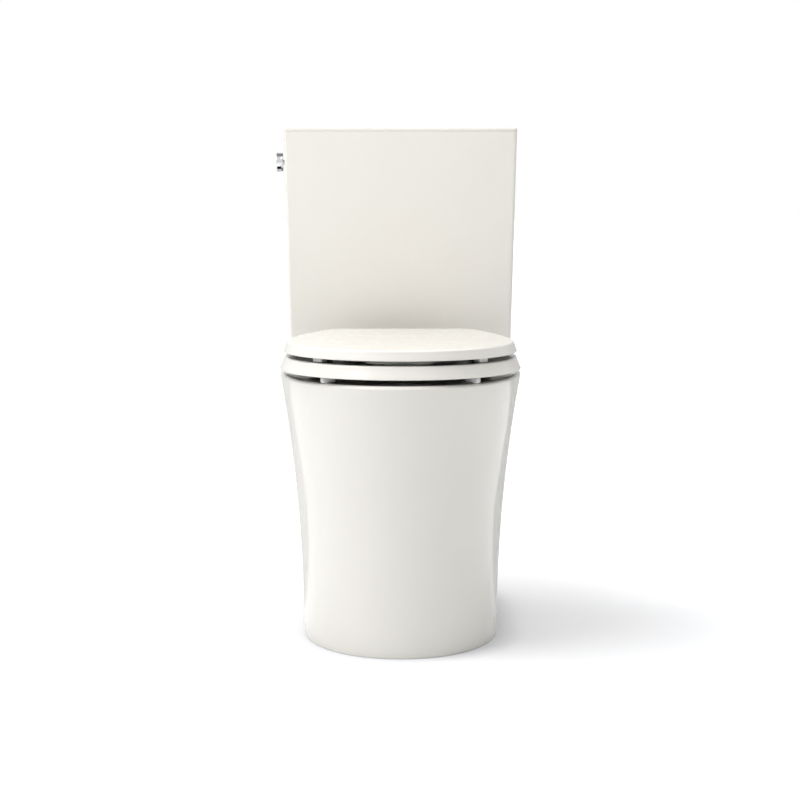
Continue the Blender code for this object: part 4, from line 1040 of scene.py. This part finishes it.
def hingeKnuckles(piece, inner, outer, neckLow, neckHigh):
    # two knuckles round the pins, each with a neck to its plate between two (y, z) corners
    edge, inset, over = hinge["barrelEdge"], hinge["neckInset"], hinge["over"]
    for side in (-1, 1):
        start, end = sorted((side * inner, side * outer))
        knuckle = alongPin("knuckle", hinge["barrel"], start, end, edge, 40)
        neck = softBlock("knuckleNeck", (start + inset, *neckLow), (end - inset, *neckHigh), edge, 2)
        fuse(piece, neck, knuckle)
        cutAway(piece, alongPin("pinHole", hinge["pinHole"], start - over, end + over))


def makeSeat():
    half, bottom, belly = seat["width"] / 2, seat["bottom"], seat["belly"]
    top = bottom + seat["thickness"]
    edge, under = seat["edge"], seat["lowEdge"]

    def outerAt(share):  # 0 at the lower edge, 1 at the upper
        inset = seat["flare"] * share
        backHalf = seat["backWidth"] / 2 - inset
        return eggOutline(seat["front"] + inset, half - inset, seat["back"], backHalf, belly, seat["corner"])

    holeHalf = seat["holeWidth"] / 2
    hole = eggOutline(seat["holeFront"], holeHalf, seat["holeBack"], holeHalf / 2, belly, holeHalf / 2)
    upper, lower = outerAt(1.0), outerAt(0.0)

    def between(share, z, outline=upper):  # share of the way from the outline to the hole
        return [(mix(a[0], b[0], share), mix(a[1], b[1], share), z) for a, b in zip(outline, hole)]

    width = seat["holeFront"] - seat["front"]
    rings = []
    for inset, rise in quarter(under, 90, 60, 30, 0):  # lower outer edge
        rings.append(atHeight(drawnIn(lower, inset, belly, half), bottom + rise))
    for share in (0.25, 0.5, 0.75):
        rings.append(atHeight(outerAt(share), mix(bottom + under, top - edge, share)))
    for inset, fall in quarter(edge, 0, 18, 36, 54, 72, 90):  # upper outer edge
        rings.append(between(inset / width, top - fall))
    for share, drop in seat["dipForm"]:
        rings.append(between(share, top - seat["dip"] * drop))
    for inset, fall in quarter(seat["holeEdge"], 90, 60, 30, 0):
        rings.append(between(1 - inset / width, top - seat["dip"] - fall))
    for inset, rise in quarter(under, 0, 45, 90):
        rings.append(between(1 - inset / width, bottom + rise, lower))
    ring = skinOver("seatRing", rings, joinEnds=True)
    armStart = hingeX + hinge["postWidth"] / 2 + hinge["play"]
    armLow = (bottom + top - hinge["arm"]) / 2
    hingeKnuckles(
        ring, armStart, armStart + hinge["knuckle"], (atBack(seat["back"] - hinge["arm"]), armLow),
        (hingeY, armLow + hinge["arm"]),
    )
    smoothOver(ring, degrees=40)
    finished(ring, "seatPlastic", "seat", "seat_ring")


def makeLid():
    half, bottom, belly = cover["width"] / 2, cover["bottom"], cover["belly"]
    edge, crown, soft, flare = cover["edge"], cover["crown"], cover["lowEdge"], cover["flare"]
    shoulder = bottom + cover["thickness"] - crown
    roof = bottom + cover["recess"]

    def outline(inset, back=cover["back"]):
        backHalf = cover["backWidth"] / 2 - inset
        return eggOutline(cover["front"] + inset, half - inset, back, backHalf, belly, seat["corner"])

    recess = outline(cover["recessInset"], cover["recessBack"])
    rings = []
    for share, fall in cover["recessRoof"]:
        rings.append(atHeight(drawnIn(recess, cover["recess"] * share, belly, half), roof - fall))
    for inset, rise in cover["recessMouth"]:
        rings.append(atHeight(drawnIn(recess, inset, belly, half), bottom + rise))
    for inset, rise in quarter(soft, 90, 60, 30, 0):
        rings.append(atHeight(outline(inset), bottom + rise))
    for share in (0.33, 0.67, 1.0):
        rings.append(atHeight(outline(flare * share), mix(bottom + soft, shoulder - edge, share)))
    for inset, fall in quarter(edge, 15, 30, 45, 60, 75, 90):
        rings.append(atHeight(outline(flare + inset), shoulder - fall))
    last = outline(flare + edge)
    for share in (0.08, 0.2, 0.36, 0.54, 0.72, 0.88, 0.98):  # slightly crowned top
        rise = crown * (1 - (1 - share) ** cover["crownPower"])
        rings.append(atHeight(drawnIn(last, half * share, belly, half), shoulder + rise))
    lid = skinOver("seatLid", rings)
    outer = hingeX - hinge["postWidth"] / 2 - hinge["play"]
    neck = hinge["barrel"] * hinge["lidNeckShare"]
    neckLow, neckHigh = (hingeY - neck, hingeZ), (hingeY + neck, bottom + edge)
    hingeKnuckles(lid, outer - hinge["knuckle"], outer, neckLow, neckHigh)
    smoothOver(lid, degrees=40)
    finished(lid, "seatPlastic", "lid", "seat_lid")


def makeHingePosts():
    low = bowl["rimHeight"] + hinge["baseGap"]
    top = bowl["rimHeight"] + hinge["base"]
    radius, cavity, roof = hinge["baseRadius"], hinge["cavity"], low + hinge["cavityHeight"]
    profile = [(0, top)]
    for inset, fall in quarter(hinge["baseRound"], 90, 65, 40, 15, 0):
        profile.append((radius - inset, top - fall))
    profile += [(radius, low), (cavity, low), (cavity, roof), (0, roof)]
    post = turnedPiece("hingePost_right", profile, (hingeX, hingeY, 0))
    half, thin, edge = hinge["postWidth"] / 2, hinge["neck"] / 2, hinge["neckEdge"]
    side = half - hinge["neckInset"]
    low, high = (hingeX - side, hingeY - thin, top - edge), (hingeX + side, hingeY + thin, hingeZ)
    neck = softBlock("postNeck", low, high, edge, 3)
    barrel = alongPin("postBarrel", hinge["barrel"], hingeX - half, hingeX + half, hinge["barrelEdge"], 48)
    fuse(post, neck, barrel)
    reach = half + hinge["over"]
    cutAway(post, alongPin("postPinHole", hinge["pinHole"], hingeX - reach, hingeX + reach))
    smoothOver(post, degrees=35)
    other = smoothOver(mirroredCopy(post, "hingePost_left"), degrees=35)
    finished(post, "seatPlastic", "base", "hinge_post_right")
    finished(other, "seatPlastic", "base", "hinge_post_left")


bumper = {
    "width": 0.012,
    "length": 0.020,
    "round": 0.0018,
    "rows": (  # name, across, back, degrees turned from square to the rim, body, low, high
        ("seat_bumper_front", 0.1053, 0.0615, 71, "seat", 0.4113, 0.4189),
        ("seat_bumper_rear", 0.133, 0.340, 0, "seat", 0.4113, 0.4189),
        ("lid_bumper_front", 0.1172, 0.0772, 0, "lid", 0.4395, 0.4536),
        ("lid_bumper_rear", 0.116, 0.352, 0, "lid", 0.4395, 0.4536),
    ),
}


def makeBumpers():
    half, length, edge = bumper["width"] / 2, bumper["length"] / 2, bumper["round"]
    for name, x, back, turn, body, low, high in bumper["rows"]:
        slope = (seat["belly"] - back) * (bowl["width"] / 2 / seat["belly"]) ** 2
        lean = math.atan2(slope, x) + math.radians(turn)
        pad = softBlock(name + "_pad_right", (-half, -length, low), (half, length, high), edge, 4)
        pad.data.transform(Matrix.Translation((x, atBack(back), 0)) @ Matrix.Rotation(-lean, 4, "Z"))
        smoothOver(pad, degrees=50)
        other = smoothOver(mirroredCopy(pad, name + "_pad_left"), degrees=50)
        finished(pad, "bumperVinyl", body, name + "_right")
        finished(other, "bumperVinyl", body, name + "_left")


makeSeat()
makeLid()
makeHingePosts()
makeBumpers()
print("seat, lid and hinge made")

# caps over the side screws of the skirt

cap = {
    "radius": 0.0100,
    "wall": 0.0018,
    "round": 0.0014,
    "head": 0.0030,
    "headPlay": 0.0003,
    "cavity": 0.0065,
    "offSkirt": 0.0006,
}


def makeCaps():
    face = bowl["footWidth"] / 2 + cap["offSkirt"]
    roof = cap["head"] + cap["headPlay"]
    top = roof + cap["wall"]
    profile = [(0, top)]
    for inset, fall in quarter(cap["round"], 90, 60, 30, 0):
        profile.append((cap["radius"] - inset, top - fall))
    profile += [(cap["radius"], 0), (cap["cavity"], 0), (cap["cavity"], roof), (0, roof)]
    for side, word in ((-1, "left"), (1, "right")):
        place = (side * face, atBack(fixings["anchorBack"]), fixings["anchorHeight"])
        piece = turnedPiece("screwCap_" + word, profile, place, 48, side * math.pi / 2)
        smoothOver(piece, degrees=35)
        finished(piece, "seatPlastic", "base", "anchor_cap_" + word)


makeCaps()


# the nodes that keep their shape get their finish here

def pair(name):
    return name + "_left", name + "_right"


kept = {
    "washerRubber": (
        "tank_gasket", "flush_valve_washer", "fill_valve_washer", *pair("tank_bolt_washer"),
        *pair("seat_washer"),
    ),
    "sealRed": ("canister_seal",),
    "boltBrass": (*pair("tank_bolt"), *pair("tank_nut"), "trip_arm"),
    "zincSteel": (*pair("hinge_pin"), *pair("seat_bolt"), *pair("anchor_bracket"), *pair("anchor_screw")),
    "valveWhite": (
        "flush_valve_body", "fill_valve_body", "fill_valve_nut", "float_stop", "lever_bushing",
        *pair("seat_nut"),
    ),
    "valveGrey": ("flush_valve_nut", "canister", "fill_valve_head", "float_ring", "lever_nut"),
    "strapBlue": ("guide_post_cap", "lift_strap"),
    "refillVinyl": ("refill_tube",),
}
for finish, names in kept.items():
    for name in names:
        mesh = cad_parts[name].data
        mesh.materials.clear()
        mesh.materials.append(finishes[finish])
print("kept nodes finished")

# floor, cards, lamp, world and camera

white = (1.0, 1.0, 1.0, 1.0)
floor = {
    "size": 60.0,
    "colour": (0.93, 0.935, 0.95),
    "farLift": 0.35,
    "farFrom": 0.18,
    "farFull": 0.9,
    "liftCentre": (0.25, 0.1, 0.0),
}
sky = {
    "dome": 1.595,
    "domeFrom": 0.56,
    "domeFull": 0.72,
    "overhead": 2.0,
    "overheadFrom": 0.55,
    "overheadFull": 0.85,
}
cards = {  # name: brightness and corners in turn
    "leftCard": (0.75, ((-1.7, 2.0, 0), (-0.3, 2.0, 0), (-0.3, 2.0, 2.2), (-1.7, 2.0, 2.2))),
    "rightCard": (0.58, ((0.3, 2.0, 0), (1.7, 2.0, 0), (1.7, 2.0, 2.2), (0.3, 2.0, 2.2))),
    "leftFloorCard": (
        0.8, ((-0.75, 0.95, 0.003), (-0.16, 0.35, 0.003), (-0.16, 2.0, 0.003), (-1.1, 2.0, 0.003)),
    ),
    "rightFloorCard": (
        0.58, ((0.16, 0.35, 0.003), (0.7, 0.95, 0.003), (1.0, 2.0, 0.003), (0.16, 2.0, 0.003)),
    ),
    "leverLowCard": (
        0.02, ((-0.21, 0.43, 0.695), (-0.19, 0.43, 0.695), (-0.19, 0.456, 0.695), (-0.21, 0.456, 0.695)),
    ),
    "leverSkyCard": (1.0, ((-0.7, -1.4, 1.9), (-0.05, -1.4, 1.9), (-0.05, 0.1, 1.9), (-0.7, 0.1, 1.9))),
    "leverTopCard": (0.36, ((-0.7, 0.1, 1.9), (-0.05, 0.1, 1.9), (-0.05, 1.6, 1.9), (-0.7, 1.6, 1.9))),
}
sideLamp = {
    "place": (-1.0, -0.4, 1.8),
    "target": (0, 0.2, 0.4),
    "size": 1.2,
    "power": 19.7,
}
view = {
    "lens": 102.34,
    "frontOfRim": 3.2284,
    "height": 0.7182,
    "pitchDown": 0.1007,
    "shift": -0.0005,
    "farthest": 200.0,
}


def glowingPaper(name, colour, strength):
    material = bpy.data.materials.new(name)
    material.use_nodes = True
    shader = material.node_tree.nodes["Principled BSDF"]
    feed(shader, {
        "Base Color": (*colour, 1.0), "Roughness": 0.9, "Specular IOR Level": 0.0,
        "Emission Color": white, "Emission Strength": strength,
    })
    return material, shader


def makeFloor():
    startClean()
    bpy.ops.mesh.primitive_plane_add(size=floor["size"], location=(0, 0, 0))
    sheet = named(bpy.context.object, "studioFloor")
    material, shader = glowingPaper("floorPaper", floor["colour"], 0.0)
    tree = material.node_tree
    place, ray = newNode(tree, "TexCoord", {}).outputs["Object"], newNode(tree, "LightPath", {}).outputs
    away = newNode(tree, "VectorMath", {0: place, 1: floor["liftCentre"]}, "DISTANCE")
    lift = newNode(tree, "MapRange", {  # painted light: the paper glows more away from the part, so it turns plain white there and the far end of the part's shadow fades
        "Value": away.outputs["Value"], "From Min": floor["farFrom"], "From Max": floor["farFull"],
        "To Max": floor["farLift"],
    })
    lift.interpolation_type = "SMOOTHSTEP"
    seen = newNode(tree, "Math", {0: ray["Is Camera Ray"], 1: ray["Is Glossy Ray"]}, "MAXIMUM")
    shown = newNode(tree, "Math", {0: seen.outputs[0], 1: lift.outputs["Result"]}, "MULTIPLY")
    feed(shader, {"Emission Strength": shown.outputs[0]})
    sheet.data.materials.append(material)


def makeWorld():
    world = bpy.data.worlds.new("studioWorld")
    bpy.context.scene.world = world
    world.use_nodes = True
    tree = world.node_tree
    ray = newNode(tree, "LightPath", {}).outputs
    split = newNode(tree, "SeparateXYZ", {0: newNode(tree, "TexCoord", {}).outputs["Generated"]})
    dome = newNode(tree, "MapRange", {  # soft light from overhead only
        "Value": split.outputs["Z"], "From Min": sky["domeFrom"], "From Max": sky["domeFull"],
        "To Max": sky["dome"],
    })
    dome.interpolation_type = "SMOOTHSTEP"
    overhead = newNode(tree, "MapRange", {  # the glossy edges catch a brighter ceiling
        "Value": split.outputs["Z"], "From Min": sky["overheadFrom"], "From Max": sky["overheadFull"],
        "To Min": 1.0, "To Max": sky["overhead"],
    })
    first = newNode(tree, "Math", {0: ray["Is Camera Ray"], 1: ray["Is Glossy Ray"]}, "MAXIMUM")
    second = newNode(tree, "Math", {0: first.outputs[0], 1: ray["Is Transmission Ray"]}, "MAXIMUM")
    strength = newNode(tree, "Mix", {
        "Factor": second.outputs[0], "A": dome.outputs["Result"], "B": overhead.outputs["Result"],
    })
    feed(tree.nodes["Background"], {"Color": white, "Strength": strength.outputs["Result"]})


def makeCards():
    # studio cards that show only as reflections, for the edges of the glaze and the bands of the chrome
    for name, (brightness, corners) in cards.items():
        startClean()
        bpy.ops.mesh.primitive_plane_add(size=1.0)
        card = named(bpy.context.object, name)
        for vert, corner in zip(card.data.vertices, (corners[0], corners[1], corners[3], corners[2])):
            vert.co = corner
        material, shader = glowingPaper(name + "Paper", (0.0, 0.0, 0.0), brightness)
        card.data.materials.append(material)
        card.visible_camera = card.visible_diffuse = card.visible_shadow = False
        card.visible_transmission = card.visible_volume_scatter = False


def makeLamp():
    startClean()
    bpy.ops.object.light_add(type="AREA", location=sideLamp["place"])
    lamp = bpy.context.object
    lamp.name = "sideLamp"
    lamp.data.shape = "SQUARE"
    lamp.data.size = sideLamp["size"]
    lamp.data.energy = sideLamp["power"]
    aim = Vector(sideLamp["target"]) - Vector(sideLamp["place"])
    lamp.rotation_euler = aim.to_track_quat("-Z", "Y").to_euler()


def makeCamera():
    startClean()
    place = (0.0, rimTip - view["frontOfRim"], view["height"])
    bpy.ops.object.camera_add(location=place, rotation=(math.pi / 2 - view["pitchDown"], 0, 0))
    camera = bpy.context.object
    camera.data.lens = view["lens"]
    camera.data.shift_x = view["shift"]
    camera.data.clip_end = view["farthest"]
    bpy.context.scene.camera = camera


makeFloor()
makeWorld()
makeCards()
makeLamp()
makeCamera()
bpy.context.scene.view_settings.view_transform = "Standard"
print("stage set")
